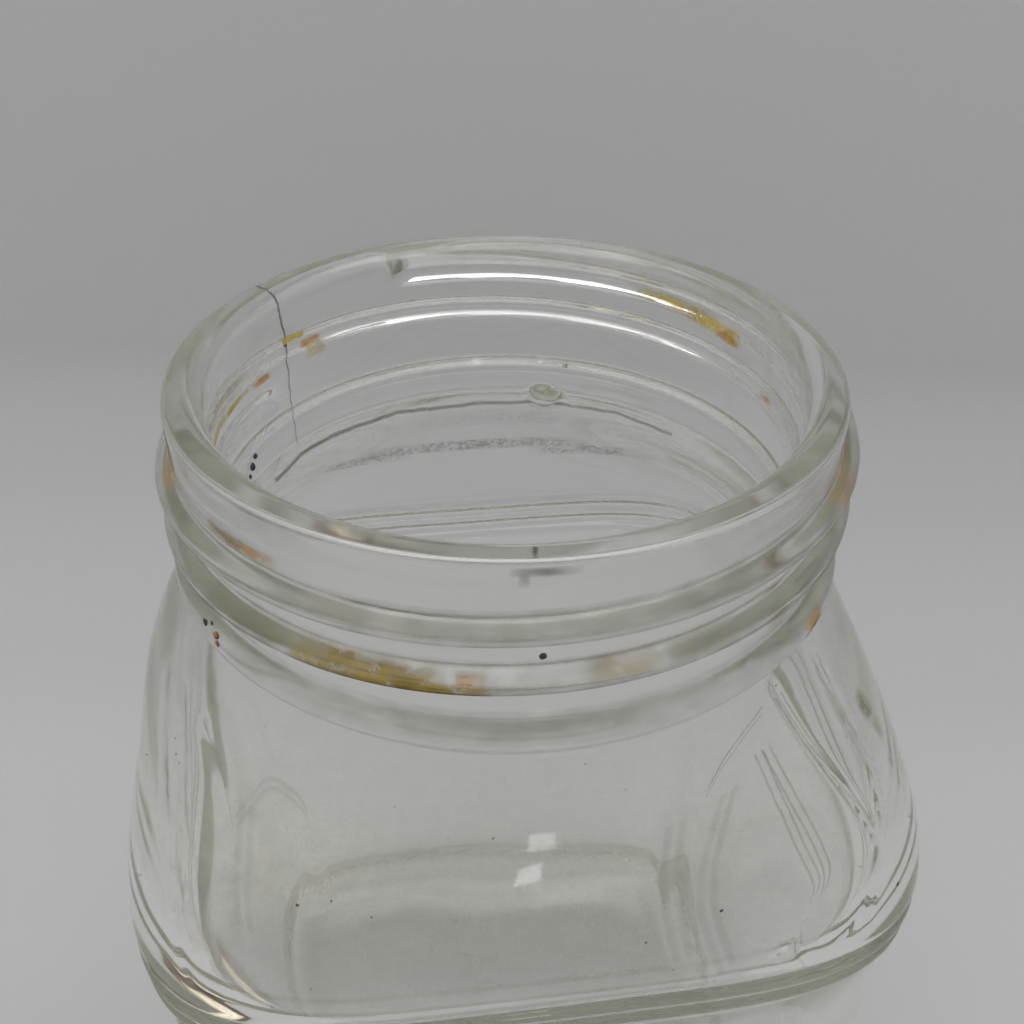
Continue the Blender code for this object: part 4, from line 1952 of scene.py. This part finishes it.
@dataclass
class Studio:
    """The paper sweep, the lamps and the camera."""

    square_turn: float = 7.83
    camera_side: float = 0.696
    camera_back: float = 97.844
    camera_up: float = 50.065
    pitch: float = 35.135
    roll: float = 0.467
    lens: float = 38.672
    sensor: float = 36.0
    nearest: float = 0.01
    rim_height: float = 145.0
    sweep_turn: float = math.radians(-10.5)
    sweep_bend: float = 0.127
    sweep_radius: float = 0.06
    sweep_half_width: float = 1.4
    room: Colour = (0.27, 0.27, 0.27)
    lamp_aim: tuple[float, float, float] = (0.0, 0.0, 0.08)
    overhead_place: tuple[float, float, float] = (0.0, 0.0, 1.0)
    overhead_size: tuple[float, float] = (1.5, 1.5)
    overhead_power: float = 18.0
    window_place: tuple[float, float, float] = (0.077, -0.489, 0.05)
    window_size: tuple[float, float] = (0.024, 0.032)
    window_power: float = 0.012
    paper_drop: float = 0.0005
    paper_top: float = 1.4
    paper_steps: int = 12
    glass_bounces: int = 40
    most_bounces: int = 48
    clear_bounces: int = 32

    def camera(self) -> None:
        """Sets up the camera at the photographed view."""
        pitch, roll = math.radians(self.pitch), math.radians(self.roll)
        forward = Vector((0.0, math.cos(pitch), -math.sin(pitch)))
        right = Vector((1.0, 0.0, 0.0))
        up = right.cross(forward)
        rolled_right = right * math.cos(roll) + up * math.sin(roll)
        rolled_up = up * math.cos(roll) - right * math.sin(roll)
        axes = Matrix((rolled_right, rolled_up, -forward)).transposed()
        turn = Matrix.Rotation(math.radians(-self.square_turn), 3, "Z")
        place = turn @ Vector((self.camera_side, -self.camera_back, self.camera_up + self.rim_height)) * MM
        data = bpy.data.cameras.new("view")
        data.lens = self.lens
        data.sensor_width = self.sensor
        data.sensor_fit = "HORIZONTAL"
        data.clip_start = self.nearest
        camera = bpy.data.objects.new("view", data)
        camera.matrix_world = Matrix.Translation(JAR_AXIS + place) @ (turn @ axes).to_4x4()
        bpy.context.scene.collection.objects.link(camera)
        bpy.context.scene.camera = camera

    def sweep(self, effects: Effects) -> None:
        """Makes the paper floor that curves up into a wall behind the jar.

        Args:
            effects: the shared surface effects.
        """
        wide, bend, radius = self.sweep_half_width, self.sweep_bend, self.sweep_radius
        shape = bmesh.new()
        low = -self.paper_drop
        line = [shape.verts.new((-wide, -wide, low)), shape.verts.new((-wide, bend, low))]
        for step in range(1, self.paper_steps + 1):
            turn = step * math.pi / (2 * self.paper_steps)
            reach = bend + radius * math.sin(turn)
            line.append(shape.verts.new((-wide, reach, radius * (1.0 - math.cos(turn)) + low)))
        line.append(shape.verts.new((-wide, bend + radius, self.paper_top)))
        edges = [shape.edges.new(pair) for pair in zip(line, line[1:])]
        made = bmesh.ops.extrude_edge_only(shape, edges=edges)
        moved = [item for item in made["geom"] if isinstance(item, bmesh.types.BMVert)]
        bmesh.ops.translate(shape, verts=moved, vec=(2 * wide, 0.0, 0.0))
        bmesh.ops.rotate(
            shape, verts=shape.verts, cent=(0.0, 0.0, 0.0), matrix=Matrix.Rotation(self.sweep_turn, 3, "Z")
        )
        bmesh.ops.recalc_face_normals(shape, faces=shape.faces)
        if sum(face.normal.z for face in shape.faces) < 0.0:
            bmesh.ops.reverse_faces(shape, faces=shape.faces)
        piece = new_piece("paper_sweep", shape, PaperFinish().material(effects, self.sweep_turn))

    def lamp(self, name: str, place: Vector, aim: Vector, size: tuple[float, float], power: float) -> None:
        """Adds one soft rectangular lamp.

        Args:
            name: the lamp's name.
            place: where it stands, in metres.
            aim: the point it faces.
            size: its width and height in metres.
            power: its power in watts.
        """
        data = bpy.data.lights.new(name, "AREA")
        data.shape = "RECTANGLE"
        data.size, data.size_y = size
        data.energy = power
        lamp = bpy.data.objects.new(name, data)
        lamp.location = place
        lamp.rotation_euler = (aim - place).to_track_quat("-Z", "Y").to_euler()
        bpy.context.scene.collection.objects.link(lamp)

    def light(self) -> None:
        """Lights the set softly from above, with a plain grey room around it."""
        aim = Vector(self.lamp_aim)
        self.lamp("overhead", Vector(self.overhead_place), aim, self.overhead_size, self.overhead_power)
        self.lamp("window", Vector(self.window_place), aim, self.window_size, self.window_power)
        world = bpy.data.worlds.new("room")
        bpy.context.scene.world = world
        world.use_nodes = True
        background = world.node_tree.nodes["Background"]
        background.inputs["Color"].default_value = (*self.room, 1.0)
        background.inputs["Strength"].default_value = 1.0

    def build(self, effects: Effects) -> None:
        """Puts up the whole set, with enough bounces for light to pass along the glass.

        Args:
            effects: the shared surface effects.
        """
        self.camera()
        self.sweep(effects)
        self.light()
        scene = bpy.context.scene
        scene.view_settings.view_transform = "Standard"
        scene.cycles.max_bounces = self.most_bounces
        scene.cycles.transmission_bounces = self.glass_bounces
        scene.cycles.glossy_bounces = self.glass_bounces
        scene.cycles.transparent_max_bounces = self.clear_bounces
        scene.cycles.caustics_reflective = False
        scene.cycles.caustics_refractive = False


def main() -> None:
    """Builds every piece and the set, in order."""
    logging.basicConfig(level=logging.INFO, format="%(message)s")
    effects = Effects()
    jar = GlassJar()
    pieces = [jar.build(effects)]
    pieces += Residue(jar).build(effects)
    pieces += WallLines(jar).build(effects)
    pieces += Grit(jar).build(effects)
    pieces += Closure().build(effects)
    for piece in pieces:
        LOG.info("%s: %d faces", piece.name, len(piece.data.polygons))
    Studio().build(effects)


if __name__ == "__main__":
    main()
